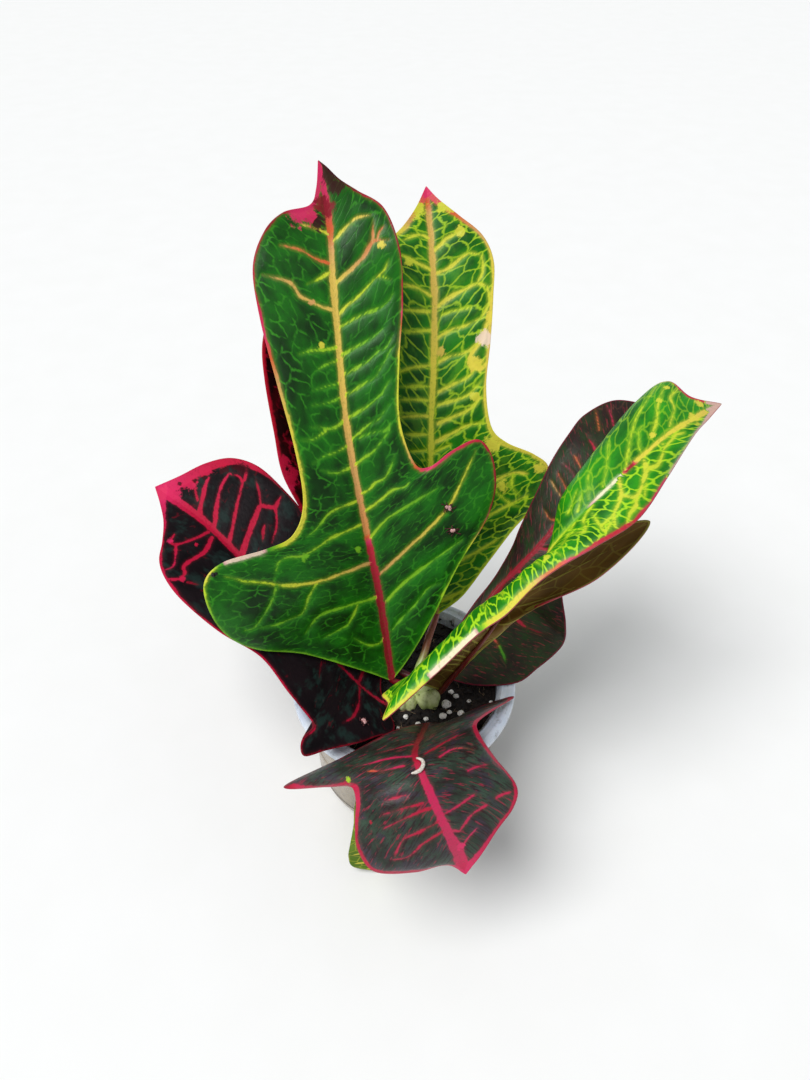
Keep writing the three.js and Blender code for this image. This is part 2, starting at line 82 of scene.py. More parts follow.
def make_camera():
    lens = bpy.data.cameras.new("photo_camera")
    lens.sensor_width = 36
    lens.lens = EYE_FOCAL / PHOTO_HEIGHT * lens.sensor_width
    lens.clip_start = 0.01
    camera = bpy.data.objects.new("photo_camera", lens)
    camera.location = EYE * MM
    camera.rotation_euler = (math.pi / 2 - EYE_TILT, 0, 0)
    scene.collection.objects.link(camera)
    scene.camera = camera


# ---------------------------------------------------------------- finishes

def srgb(hex_colour):
    """A colour as the eye picks it, made linear."""
    parts = [int(hex_colour[k:k + 2], 16) / 255 for k in (0, 2, 4)]
    return (*[p / 12.92 if p <= 0.04045 else ((p + 0.055) / 1.055) ** 2.4 for p in parts], 1)


class Finish:
    """One material and short words for its nodes."""

    def __init__(self, name, roughness, **fixed):
        self.material = bpy.data.materials.new(name)
        self.material.use_nodes = True
        self.tree = self.material.node_tree
        self.shader = self.tree.nodes["Principled BSDF"]
        self.shader.inputs["Roughness"].default_value = roughness
        for socket, value in fixed.items():
            self.shader.inputs[socket.replace("_", " ")].default_value = value

    def put(self, socket, value):
        """Wires an output, or sets a number or a hex colour."""
        if isinstance(value, bpy.types.NodeSocket):
            self.tree.links.new(value, socket)
        else:
            socket.default_value = srgb(value) if isinstance(value, str) else value

    def node(self, kind, **settings):
        made = self.tree.nodes.new(kind)
        for key, value in settings.items():
            setattr(made, key, value)
        return made

    def attribute(self, name):
        return self.node("ShaderNodeAttribute", attribute_name=name).outputs["Fac"]

    def place(self):
        return self.node("ShaderNodeTexCoord").outputs["Object"]

    def sheet(self, name):
        """The coordinates of a UV map."""
        return self.node("ShaderNodeUVMap", uv_map=name).outputs["UV"]

    def part(self, vector, axis):
        """One of a vector's three numbers."""
        made = self.node("ShaderNodeSeparateXYZ")
        self.put(made.inputs[0], vector)
        return made.outputs[axis]

    def math(self, operation, a, b, clamp=False):
        made = self.node("ShaderNodeMath", operation=operation, use_clamp=clamp)
        self.put(made.inputs[0], a)
        self.put(made.inputs[1], b)
        return made.outputs[0]

    def times(self, a, b, clamp=False):
        return self.math("MULTIPLY", a, b, clamp)

    def plus(self, a, b):
        return self.math("ADD", a, b)

    def swing(self, grain, reach):
        """A grain from 0 to 1, made to swing about 0 by up to half of reach."""
        return self.times(self.math("SUBTRACT", grain, 0.5), reach)

    def step(self, value, start, end, low=0.0, high=1.0):
        """From low at start to high at end, smoothly."""
        made = self.node("ShaderNodeMapRange", interpolation_type="SMOOTHSTEP")
        for socket, number in zip(made.inputs, (value, start, end, low, high)):
            self.put(socket, number)
        return made.outputs[0]

    def mix(self, share, a, b):
        """Colour a, with b over it by a share."""
        made = self.node("ShaderNodeMix", data_type="RGBA")
        self.put(made.inputs[0], share)
        self.put(made.inputs[6], a)
        self.put(made.inputs[7], b)
        return made.outputs[2]

    def ramp(self, value, stops):
        """Colours at positions, in order."""
        made = self.node("ShaderNodeValToRGB")
        keys = made.color_ramp.elements
        for _ in stops[2:]:
            keys.new(0.5)
        for key, (position, colour) in zip(keys, stops):
            key.position = position
            key.color = srgb(colour)
        self.put(made.inputs[0], value)
        return made.outputs[0]

    def scaled(self, vector, factors):
        made = self.node("ShaderNodeMapping", vector_type="POINT")
        self.put(made.inputs["Vector"], vector)
        made.inputs["Scale"].default_value = factors
        return made.outputs[0]

    def slanted(self, vector, factors, degrees):
        """The same coordinates turned about z, and then scaled."""
        made = self.node("ShaderNodeMapping", vector_type="TEXTURE")
        self.put(made.inputs["Vector"], vector)
        made.inputs["Rotation"].default_value = (0, 0, math.radians(degrees))
        made.inputs["Scale"].default_value = [1 / factor for factor in factors]
        return made.outputs[0]

    def noise(self, vector, scale, detail=2.0, roughness=0.5, output=0):
        """A cloudy pattern: output 0 is a number, output 1 a colour."""
        made = self.node("ShaderNodeTexNoise")
        self.put(made.inputs["Vector"], vector)
        for socket, number in (("Scale", scale), ("Detail", detail), ("Roughness", roughness)):
            made.inputs[socket].default_value = number
        return made.outputs[output]

    def shaken(self, vector, scale, reach):
        """The same coordinates, pushed about by up to half of reach."""
        push = self.node("ShaderNodeVectorMath", operation="MULTIPLY_ADD")
        self.put(push.inputs[0], self.noise(vector, scale, output=1))
        push.inputs[1].default_value = (reach, reach, reach)
        self.put(push.inputs[2], vector)
        return push.outputs[0]

    def cells(self, vector, scale):
        """The distance to the nearest wall between irregular flat cells."""
        made = self.node("ShaderNodeTexVoronoi", feature="DISTANCE_TO_EDGE", voronoi_dimensions="2D")
        self.put(made.inputs["Vector"], vector)
        made.inputs["Scale"].default_value = scale
        return made.outputs[0]

    def bump(self, height, distance_mm, strength):
        made = self.node("ShaderNodeBump")
        made.inputs["Strength"].default_value = strength
        made.inputs["Distance"].default_value = distance_mm * MM
        self.put(made.inputs["Height"], height)
        self.put(self.shader.inputs["Normal"], made.outputs[0])

    def colour(self, value):
        self.put(self.shader.inputs["Base Color"], value)

    def rough(self, value):
        self.put(self.shader.inputs["Roughness"], value)


# Colours that a vein, midrib or blotch runs through, by its tone number from 0 to 1. The cream at 1 also
# paints a highlight along the right folded leaf's margin.
VEIN_TONES = [
    (0.0, "3a0812"), (0.1, "860c22"), (0.2, "c4163c"), (0.3, "e02c66"), (0.4, "dc6030"), (0.5, "d8a060"),
    (0.6, "e6d448"), (0.7, "c6dc2e"), (0.8, "7cbc22"), (0.9, "3f9a22"), (0.95, "f0b4b4"), (1.0, "f6ecc8"),
]


def leaf_finish(name, deep, fresh, glow, net, margin, clouds=None, streaks=None, outline=None, halo=0.3,
                gloss=0.38, shine=0.26, vein_share=0.96):
    """The upper side of a leaf: ground, vein net, margin, veins and blotches.

    net is (colour, share, cell size in mm), margin and outline are (colour, width in mm), clouds are
    (colour, share), and streaks are (colour, share, colour of the flecks, slant in degrees).
    """
    f = Finish(name, gloss, Specular_IOR_Level=shine)
    flat = f.sheet("paper")
    ribs = f.sheet("ribs")
    patchy = f.noise(flat, 0.06, 3, 0.6)
    grain = f.noise(flat, 0.9, 4, 0.7)
    ripple = f.noise(flat, 0.3, 4, 0.7)
    vein = f.attribute("vein")
    edge = f.attribute("margin")
    # the ground, fresher near the veins and in patches
    ground = f.mix(f.step(patchy, 0.35, 0.68), deep, fresh)
    near = f.step(f.plus(vein, f.times(grain, 3)), 4.6, 1.2)
    ground = f.mix(f.times(near, 0.55), ground, glow)
    ground = f.mix(f.times(f.step(grain, 0.48, 0.72), 0.35), ground, deep)
    if clouds:
        colour, share = clouds
        clouded = f.step(f.noise(flat, 0.11, 3, 0.65), 0.48, 0.66)
        ground = f.mix(f.times(clouded, share), ground, colour)
    if streaks:
        colour, share, fleck, slant = streaks
        streaky = f.noise(f.slanted(ribs, (0.8, 0.12, 1), slant), 1, 5, 0.75)
        ground = f.mix(f.times(f.step(streaky, 0.5, 0.58), share), ground, colour)
        flecked = f.noise(f.slanted(ribs, (1.1, 0.2, 1), slant), 0.8, 3, 0.6)
        ground = f.mix(f.times(f.step(flecked, 0.57, 0.66), 0.75), ground, fleck)
    # the fine net, its cells longer away from the midrib
    colour, share, cell_mm = net
    wobble = f.shaken(f.scaled(ribs, (1 / cell_mm, 0.55 / cell_mm, 1)), 1.6, 0.6)
    lines = f.step(f.plus(f.cells(wobble, 1), f.times(ripple, 0.1)), 0.17, 0.05)
    broken = f.step(f.noise(flat, 0.2, 3), 0.64 - share * 0.45, 0.78 - share * 0.45)
    shown = f.times(f.times(lines, broken), f.attribute("net"), clamp=True)
    ground = f.mix(shown, ground, colour)
    # the margin
    colour, wide_mm = margin
    band = f.math("SUBTRACT", f.times(edge, 1 / wide_mm), f.times(ripple, 1.2))
    ground = f.mix(f.step(band, 0.5, -0.1), ground, colour)
    # the veins, each with a soft rim
    wander = f.plus(f.swing(f.noise(flat, 0.14, 2), 1.6), f.swing(ripple, 1.3))
    ragged = f.plus(vein, f.plus(f.swing(grain, 0.8), wander))
    tone = f.ramp(f.attribute("tone"), VEIN_TONES)
    ground = f.mix(f.times(f.step(ragged, 1.5, 0), halo), ground, tone)
    tone = f.mix(f.times(f.step(grain, 0.5, 0.7), 0.35), tone, fresh)
    ground = f.mix(f.times(f.step(ragged, 0.4, -0.25), vein_share), ground, tone)
    # blotches over everything, with torn edges
    blot = f.ramp(f.attribute("blotch_tone"), VEIN_TONES)
    blotch = f.plus(f.attribute("blotch"), f.swing(f.noise(flat, 0.28, 5, 0.75), 3.2))
    ground = f.mix(f.times(f.step(blotch, 0.6, 1.0), 0.9), ground, blot)
    if outline:
        colour, wide_mm = outline
        rim = f.plus(f.times(edge, 1 / wide_mm), f.times(ripple, 0.8))
        ground = f.mix(f.step(rim, 1.4, 0.8), ground, colour)
    f.colour(ground)
    f.rough(f.step(grain, 0.3, 0.8, gloss - 0.05, gloss + 0.14))
    relief = f.plus(f.times(f.step(vein, 0, 1.6), 0.7), f.times(grain, 0.3))
    f.bump(f.plus(relief, f.times(lines, -0.2)), 0.22, 0.6)
    return f.material


def underside_finish(name, deep, fresh, veins):
    """The lower side of a leaf: matte, with its ribs showing pale."""
    f = Finish(name, 0.55, Specular_IOR_Level=0.25)
    flat = f.sheet("paper")
    grain = f.noise(flat, 0.5, 4, 0.7)
    ground = f.mix(f.step(f.noise(flat, 0.05, 3), 0.35, 0.7), deep, fresh)
    ground = f.mix(f.times(grain, 0.35), ground, deep)
    ribs = f.step(f.attribute("vein"), 0.25, -0.1)
    lines = f.step(f.cells(flat, 0.16), 0.07, 0.02)
    ground = f.mix(f.times(lines, 0.3), ground, veins)
    f.colour(f.mix(f.times(ribs, 0.8), ground, veins))
    f.bump(f.plus(ribs, f.times(grain, 0.3)), 0.3, 0.8)
    return f.material


def stalk_finish(name, stops):
    """A petiole: colours along its length, with fine lengthwise streaks."""
    f = Finish(name, 0.38)
    grain = f.noise(f.scaled(f.place(), (700, 700, 120)), 1, 3, 0.6)
    colour = f.ramp(f.plus(f.part(f.sheet("length"), 1), f.swing(grain, 0.03)), stops)
    f.colour(f.mix(f.times(f.step(grain, 0.5, 0.75), 0.35), colour, "2a0a08"))
    f.bump(grain, 0.2, 0.5)
    return f.material


def plastic_finish():
    """White glossy plastic, painted pale blue-grey near the rim and beige-brown on the body below as painted
    shade; streaked with soil inside and near the rim, and flecked darker brown towards the foot.
    """
    f = Finish("tub_plastic", 0.22)
    place = f.place()
    height = f.times(f.part(place, 2), 1 / MM)
    out = f.node("ShaderNodeVectorMath", operation="LENGTH")
    f.put(out.inputs[0], f.scaled(place, (1 / MM, 1 / MM, 0)))
    drift = f.noise(place, 60, 4, 0.6)
    fine = f.noise(place, 420, 4, 0.7)
    # the white plastic tinted pale blue-grey: painted cool shade
    ground = f.mix(f.step(drift, 0.35, 0.7), "c6d2e4", "dfe6ee")
    # the body's beige-brown below the lip: painted warm shade on the white plastic
    body = f.mix(f.step(drift, 0.3, 0.75), "8d8172", "a99d8a")
    ground = f.mix(f.step(f.plus(height, f.times(drift, 8)), 58, 50), ground, body)
    inside = f.step(out.outputs["Value"], 43.6, 42.0)
    mud = f.plus(f.noise(f.scaled(place, (1, 1, 0.6)), 150, 5, 0.75), f.times(inside, 0.13))
    above = f.step(height, 50, 53)
    smear = f.times(f.step(mud, 0.5, 0.62), f.times(above, 0.35))
    specks = f.times(f.step(mud, 0.62, 0.68), above)
    ground = f.mix(specks, f.mix(smear, ground, "6d6258"), "1d1512")
    low = f.step(f.plus(height, f.times(fine, 6)), 30, 8)
    f.colour(f.mix(f.times(f.times(low, f.step(fine, 0.45, 0.6)), 0.5), ground, "5f5142"))
    f.rough(f.plus(f.times(specks, 0.5), f.step(fine, 0.3, 0.8, 0.16, 0.34)))
    f.bump(f.plus(fine, f.times(specks, 2)), 0.25, 0.35)
    return f.material


def soil_finish(name):
    f = Finish(name, 0.9)
    place = f.place()
    grain = f.noise(place, 700, 5, 0.75)
    damp = f.noise(place, 90, 3)
    ground = f.ramp(grain, [(0.3, "080504"), (0.5, "1a110d"), (0.62, "2e2119"), (0.75, "4a3a2d")])
    f.colour(f.mix(f.times(f.step(damp, 0.4, 0.65), 0.6), ground, "0b0706"))
    f.rough(f.step(damp, 0.4, 0.7, 0.95, 0.55))
    f.bump(grain, 0.8, 1.0)
    return f.material


def bark_finish():
    """Pale green bark, darker in patches and in small scars."""
    f = Finish("stem_bark", 0.5)
    place = f.place()
    grain = f.noise(place, 500, 4, 0.7)
    ground = f.mix(f.step(f.noise(place, 140, 3), 0.35, 0.65), "a3b566", "dbe3a8")
    ground = f.mix(f.times(f.step(grain, 0.5, 0.68), 0.35), ground, "6f7f3c")
    f.colour(f.mix(f.step(f.noise(place, 330, 2), 0.66, 0.72), ground, "2a2a14"))
    f.bump(grain, 0.5, 0.7)
    return f.material


def perlite_finish():
    """Chalky white, pitted, a little stained."""
    f = Finish("perlite_grain", 0.75)
    pits = f.noise(f.place(), 1400, 3, 0.6)
    ground = f.ramp(pits, [(0.3, "c8c2b6"), (0.45, "efece4"), (0.65, "fbfaf6")])
    f.colour(f.mix(f.step(f.noise(f.place(), 500, 2), 0.6, 0.7), ground, "8c7f6c"))
    f.bump(pits, 0.35, 1.0)
    return f.material


def plain_finish(name, low, high, scale, roughness):
    """Two colours mixed by a grain, with a matching bump."""
    f = Finish(name, roughness)
    grain = f.noise(f.place(), scale, 4, 0.7)
    f.colour(f.ramp(grain, [(0.35, low), (0.65, high)]))
    f.bump(grain, 0.2, 0.8)
    return f.material


# ---------------------------------------------------------------- shaping

WELD_MM = 0.01


def unit(vectors):
    """The same directions, each 1 long."""
    return vectors / np.maximum(np.linalg.norm(vectors, axis=-1, keepdims=True), 1e-9)


def run_along(line):
    """How far along a line of points each of them lies."""
    return np.r_[0, np.cumsum(np.linalg.norm(np.diff(line, axis=0), axis=1))]


def catmull(points, at):
    """Places on the smooth line through points; at runs from 0 to the last point's number."""
    last = len(points) - 1
    padded = np.vstack([2 * points[0] - points[1], points, 2 * points[-1] - points[-2]])
    start = np.clip(at.astype(int), 0, last - 1)
    f = (at - start)[:, None]
    a, b, c, d = [padded[start + k] for k in range(4)]
    bent = (2 * a - 5 * b + 4 * c - d) * f ** 2
    return 0.5 * (2 * b + (c - a) * f + bent + (3 * b - a - 3 * c + d) * f ** 3)


def nearest_line(places, line):
    """For each place, its distance to a line of points and how far along the line that is, 0 to 1."""
    best = np.full(len(places), 1e9)
    where = np.zeros(len(places))
    run = run_along(line)
    for k, (a, b) in enumerate(zip(line[:-1], line[1:])):
        step = b - a
        share = np.clip((places - a) @ step / max(step @ step, 1e-9), 0, 1)
        gap = np.linalg.norm(places - a - share[:, None] * step, axis=1)
        closer = gap < best
        best = np.where(closer, gap, best)
        where = np.where(closer, (run[k] + share * (run[k + 1] - run[k])) / run[-1], where)
    return best, where


def mesh_from(name, body):
    """The mesh of a finished body."""
    mesh = bpy.data.meshes.new(name)
    body.to_mesh(mesh)
    body.free()
    return mesh


def joined(name, meshes):
    """One mesh made of several."""
    body = bmesh.new()
    for mesh in meshes:
        body.from_mesh(mesh)
    return mesh_from(name, body)


def set_places(mesh, places):
    """Moves a mesh's corners to places in mm."""
    mesh.vertices.foreach_set("co", (places * MM).astype(np.float32).ravel())
    mesh.update()


def shaped_grid(name, columns, rows, place):
    """A sheet of quads whose corners are put where place(across, up) says, both from 0 to 1."""
    sheet = bmesh.new()
    bmesh.ops.create_grid(sheet, x_segments=columns, y_segments=rows, size=0.5)
    mesh = mesh_from(name, sheet)
    flat = np.empty(len(mesh.vertices) * 3, np.float32)
    mesh.vertices.foreach_get("co", flat)
    across, up = (flat.reshape(-1, 3)[:, :2] + 0.5).T.astype(float)
    places = place(across, up)
    set_places(mesh, places)
    return mesh, across, up, places


def welded(mesh):
    """Closes the seam and the poles of a wrapped grid and turns its faces outwards."""
    body = bmesh.new()
    body.from_mesh(mesh)
    bmesh.ops.remove_doubles(body, verts=body.verts, dist=WELD_MM * MM)
    bmesh.ops.dissolve_degenerate(body, edges=body.edges, dist=1e-7)
    bmesh.ops.recalc_face_normals(body, faces=body.faces)
    body.to_mesh(mesh)
    body.free()
    return mesh


def tube(name, line, radii, sides, rings_per_span=5):
    """A round tube along a smooth line, its ends drawn to a point."""
    line = np.array(line, float)
    count = len(line) - 1
    rings = rings_per_span * count

    def place(across, up):
        at = up * count
        ahead = unit(catmull(line, np.minimum(at + 0.05, count)) - catmull(line, np.maximum(at - 0.05, 0)))
        side = unit(np.cross(ahead, [0.31, 0.9, 0.3]))
        other = np.cross(side, ahead)
        radius = np.interp(at, range(count + 1), radii)
        radius = radius * np.sqrt(np.clip(np.minimum(up, 1 - up) * rings * 0.6, 0, 1))
        turn = across * FULL_TURN
        ring = side * np.cos(turn)[:, None] + other * np.sin(turn)[:, None]
        return catmull(line, at) + ring * radius[:, None]

    mesh, across, up, _ = shaped_grid(name, sides, rings, place)
    add_map(mesh, "length", across, up)
    return welded(mesh)


def spun(name, profile, turns, round_mm=0.0):
    """A closed body of revolution from a profile in mm that starts and ends on the axis."""
    body = bmesh.new()
    corners = [body.verts.new((r * MM, 0, z * MM)) for r, z in profile]
    for a, b in zip(corners, corners[1:]):
        body.edges.new((a, b))
    if round_mm:
        bmesh.ops.bevel(body, geom=corners[2:-2], offset=round_mm * MM, segments=3, profile=0.5,
                        affect="VERTICES", material=-1)
    bmesh.ops.spin(body, geom=body.verts[:] + body.edges[:], axis=(0, 0, 1), cent=(0, 0, 0), steps=turns,
                   angle=FULL_TURN, use_merge=True)
    bmesh.ops.remove_doubles(body, verts=body.verts, dist=WELD_MM * MM)
    bmesh.ops.recalc_face_normals(body, faces=body.faces)
    return mesh_from(name, body)


def add_values(mesh, name, values):
    """A number for each corner of a mesh, for its finish to read."""
    layer = mesh.attributes.new(name, "FLOAT", "POINT")
    layer.data.foreach_set("value", values.astype(np.float32))


def add_map(mesh, name, across, up):
    """A UV map from one pair of numbers per vertex."""
    layer = mesh.uv_layers.new(name=name)
    corners = np.empty(len(mesh.loops), np.int32)
    mesh.loops.foreach_get("vertex_index", corners)
    layer.data.foreach_set("uv", np.stack([across[corners], up[corners]], -1).astype(np.float32).ravel())


def add_piece(name, mesh, node, materials):
    """Links a piece under the root body, and hides the CAD part that it stands in for."""
    piece = bpy.data.objects.new(name, mesh)
    scene.collection.objects.link(piece)
    for material in materials:
        mesh.materials.append(material)
    mesh.shade_smooth()
    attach(piece, "root")
    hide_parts(node)
    return piece


# ---------------------------------------------------------------- the leaves, read from the photograph
#
# A point is (photo pixel across, photo pixel down) and, where a third number follows, its height in mm.
# midrib: points from the base to the tip.
# pose: (part of the length, turn, left fold, right fold, left curl, right curl), in degrees.
# ribs: (start along the midrib, left reach, place along there, right reach, place along there), in mm of a
#   flat blade that is then stretched to the midrib's length.
# rows: for a folded leaf, which has no pose and ribs, the midrib, left bend, left edge, right bend and right
#   edge, row by row. A row of one point is a tip.
# stalk: the places in mm of the petiole from the soil to the blade.
# midrib_mm: (point, width in mm, tone) from the base to the tip.
# veins, by side of the midrib (-1 left, 1 right): (first and last width in mm, first and last tone, points).
# edges, by side: (point, width in mm, tone) along the margin from the base to the tip.
# hidden_veins, by side: (part of the length, width in mm, tone), where the photograph doesn't show the blade.
# blotches: (side, point, half size in mm, tone).
# quilt_mm and ripple_mm: the height of the panels between the veins and of the waves along the margin.
# seed: sets the noise of a leaf apart. net: how strongly the fine net shows on the left and on the right.

def even_veins(first, last, count, width, tone):
    """Plain laterals where the photograph doesn't show a blade."""
    return [(first + (last - first) * k / (count - 1), width, tone) for k in range(count)]


FRONT_GREEN = {
    "node": "leaf_front_green",
    "midrib": [
        (392, 681, 60), (380, 600, 95), (360, 500, 136), (346, 421, 165), (334, 290, 208), (329, 220, 230),
        (318, 160, 249)],
    "pose": [
        (0, 0, 12, 22, -6, -6), (0.45, 0, 12, 22, -6, -8), (0.7, 0, 8, 10, -8, -8), (1, 0, 6, 6, -8, -8)],
    "ribs": [
        (0, 0, 0, 0, 0), (8, -14, 10, 10, 12), (20, -36, 24, 22, 29), (32, -56, 34, 37, 50),
        (42, -67, 46, 51, 66), (50, -72, 60, 57, 80), (56, -71, 72, 57, 93), (62, -62, 77, 52, 101),
        (70, -44, 77, 41, 98), (78, -32, 79, 31, 93), (88, -25, 90, 25, 96), (103, -23, 110, 22, 116),
        (122, -26, 134, 24, 140), (142, -30, 159, 27, 163), (160, -31, 178, 27, 184),
        (176, -26, 192, 22, 198), (190, -18, 200, 13, 205), (202, -7, 202, 7, 210), (211, -3, 208, 3, 215),
        (218, 0, 218, 0, 218)],
    "stalk": [(9, -4, 56), (3, -3, 57)],
    "midrib_mm": [
        ((392, 681), 3.4, 0.12), ((380, 600), 3.2, 0.13), ((369, 546), 2.9, 0.2), ((366, 534), 2.8, 0.46),
        ((353, 482), 2.6, 0.5), ((340, 373), 2.4, 0.55), ((334, 277), 2.3, 0.55), ((332, 248), 2.4, 0.5),
        ((331, 236), 2.3, 0.42), ((325, 195), 2.4, 0.3), ((318, 160), 1.6, 0.28)],
    "veins": {-1: [
        (1.1, 0.6, 0.4, 0.45, (330.6, 265), (315, 259), (300, 250.6), (280, 246)),
        (0.9, 0.5, 0.55, 0.5, (331.6, 310), (320, 306.7), (306, 299.6), (300, 294.5), (290, 283),
         (262, 275)),
        (0.8, 0.4, 0.65, 0.55, (328.5, 234), (318, 230), (300, 223)),
        (0.6, 0.4, 0.65, 0.75, (330, 272), (319, 280), (308, 284)),
        (1.1, 0.5, 0.75, 0.8, (336, 348.4), (325, 349.5), (310.8, 350.6), (300, 352.8)),
        (0.5, 0.4, 0.75, 0.85, (337, 361), (323.8, 365.8), (316, 370)),
        (0.6, 0.4, 0.79, 0.84, (339, 383), (325, 388), (312, 390)),
        (0.7, 0.4, 0.79, 0.84, (342, 398), (332.5, 401), (323.8, 404.8), (312, 406)),
        (0.8, 0.4, 0.75, 0.85, (343, 422), (334.7, 426.5), (327, 428), (311, 427)),
        (0.6, 0.4, 0.75, 0.85, (327, 429.7), (319.5, 435.7), (312, 440.5), (300, 441.6)),
        (0.8, 0.4, 0.75, 0.85, (346, 446), (334.7, 452), (323.8, 455.7), (312, 464)),
        (0.7, 0.4, 0.75, 0.85, (349, 468), (343.4, 471), (335, 473.6), (319.5, 471.4)),
        (0.8, 0.4, 0.71, 0.83, (355, 501), (331.4, 512), (314.8, 530.6), (306, 537)),
        (0.9, 0.4, 0.71, 0.83, (361, 525), (346.7, 530.6), (327.5, 539.5), (317, 548.5), (302, 556),
         (289, 556.8), (279, 562.5), (272.7, 580)),
        (1.1, 0.6, 0.5, 0.77, (370, 562.5), (346.7, 571.4), (321, 580.4), (289, 584.8), (264, 582.3),
         (244.6, 580.4), (224, 576.5)),
        (0.6, 0.4, 0.75, 0.83, (314.8, 584), (308.4, 597), (303, 613), (289, 619), (276.5, 624),
         (261, 627)),
        (0.6, 0.4, 0.8, 0.85, (277, 585), (269, 604.6), (256, 625), (244.6, 631)),
        (1.3, 0.66, 0.78, 0.82, (378, 596), (359.4, 602), (344, 607), (318.6, 615.4), (306, 632.6)),
        (0.6, 0.4, 0.75, 0.85, (358, 604.6), (350.5, 621), (344, 627.5), (323.7, 637.8)),
        (0.6, 0.4, 0.75, 0.83, (387, 634), (378.6, 644), (365.8, 644), (353, 637.8)),
    ], 1: [
        (0.9, 0.5, 0.65, 0.55, (332.6, 242.5), (341, 233), (349, 225), (357, 219), (371, 215)),
        (1.1, 0.6, 0.58, 0.4, (337, 283), (349, 272), (361, 259), (369.4, 247.5), (373.5, 241.4),
         (388, 240.4)),
        (0.6, 0.4, 0.5, 0.4, (372, 243), (373, 231), (372.5, 219)),
        (0.6, 0.4, 0.5, 0.4, (377, 240), (380, 233), (384.7, 227)),
        (0.9, 0.5, 0.65, 0.75, (338.8, 313), (346, 305.7), (357, 298.6), (365, 288.4), (377.5, 278),
         (391, 280)),
        (0.6, 0.4, 0.65, 0.75, (377.5, 278), (383, 270), (389, 260)),
        (0.8, 0.4, 0.73, 0.83, (340, 327), (353, 320), (365, 314), (375, 310), (386, 303.7), (393, 292.4)),
        (1.1, 0.6, 0.75, 0.85, (341, 355), (347.7, 351), (357.4, 346.8), (365, 342.5), (373.7, 336),
         (384, 329)),
        (0.8, 0.4, 0.75, 0.85, (342.3, 374), (348.8, 371.7), (358.5, 365.8), (368.3, 361), (378, 351.7),
         (385.6, 346.8), (393, 335.4)),
        (0.8, 0.4, 0.75, 0.85, (345, 396), (354, 391.8), (365, 383.6), (374.8, 376.6), (380, 370),
         (385.6, 362.5), (389, 350.6), (394, 346)),
        (0.8, 0.4, 0.75, 0.85, (348.8, 417.8), (357.4, 412.4), (367, 406), (376, 399.4), (381, 394),
         (384.5, 387.4), (391, 380)),
        (0.7, 0.4, 0.75, 0.85, (352, 437.8), (360.7, 430.8), (369.4, 425.4), (378, 419), (383.5, 412.4),
         (389, 404)),
        (0.5, 0.4, 0.8, 0.85, (360, 439), (369.4, 434), (385.6, 428.6), (390, 422)),
        (0.8, 0.4, 0.75, 0.85, (354, 464.4), (363, 459), (373.7, 450.3), (380, 443.3), (390, 430)),
        (0.8, 0.5, 0.71, 0.83, (359, 494), (369.4, 489), (376, 482.8), (384.5, 477.4), (391, 464.4),
         (394, 455.7)),
        (0.6, 0.4, 0.7, 0.8, (364, 512), (381, 500), (393, 490), (404, 486.6), (409.5, 482.8)),
        (1.1, 0.6, 0.75, 0.85, (370.3, 537), (378.6, 526.8), (388, 518), (400, 510), (418, 499),
         (437, 488)),
        (1.0, 0.6, 0.5, 0.67, (380, 573), (400, 555), (425, 532), (449, 507), (462, 480), (475.5, 451.4)),
        (1.2, 0.66, 0.78, 0.82, (387.5, 599.5), (400, 587), (420, 570), (440, 555), (462, 540)),
        (0.6, 0.4, 0.83, 0.82, (392.6, 629), (400, 620), (416, 603), (428, 588), (440, 583)),
        (1.5, 0.8, 0.75, 0.77, (442, 596), (452, 589), (466, 582), (478, 580), (496, 568)),
        (0.6, 0.4, 0.77, 0.85, (472, 582), (480, 589), (484, 588))]},
    "edges": {-1: [
        ((272, 650), 0.5, 0.82), ((222, 622), 0.4, 0.85), ((203, 590), 0.5, 0.7), ((207, 572), 0.6, 0.6),
        ((226, 560), 1.2, 0.98), ((262, 550), 1.3, 0.98), ((285, 541), 1.5, 0.64), ((303, 515), 1.6, 0.62),
        ((304, 490), 1.2, 0.62), ((292, 430), 0.8, 0.6), ((280, 380), 0.9, 0.5), ((268, 335), 1.0, 0.3),
        ((258, 290), 0.6, 0.2), ((258, 250), 0.6, 0.16), ((280, 216), 0.5, 0.12), ((298, 205), 1.4, 0.3),
        ((316, 165), 1.6, 0.28)
    ], 1: [
        ((440, 610), 0.3, 0.8), ((470, 560), 0.3, 0.8), ((489, 500), 0.4, 0.12), ((490, 464), 0.5, 0.16),
        ((478, 436), 0.9, 0.2), ((450, 452), 1.2, 0.24), ((424, 466), 1.2, 0.3), ((408, 458), 0.9, 0.52),
        ((401, 430), 0.7, 0.64), ((399, 360), 0.5, 0.66), ((400, 300), 0.4, 0.2), ((396, 235), 0.6, 0.1),
        ((372, 197), 0.9, 0.18), ((345, 184), 0.7, 0.04), ((318, 160), 0.8, 0.04)]},
    "blotches": [
        (-1, (322, 345.7), 1.6, 0.62), (-1, (358, 549.7), 1.6, 0.8), (1, (381.6, 244.5), 2.0, 0.6),
        (-1, (300, 211), 5.5, 0.3), (-1, (311, 216), 4, 0.28), (-1, (323, 206), 5, 0.1),
        (-1, (318, 222), 3.5, 0.0), (-1, (317, 172), 4, 0.29), (1, (329, 174), 5, 0.0),
        (1, (337, 187), 4, 0.0), (-1, (312, 301.6), 1.4, 0.5), (-1, (305, 557), 2.0, 0.82)],
    "quilt_mm": 0.5, "ripple_mm": 1.2, "seed": 1.3, "net": (0.7, 0.6),
}

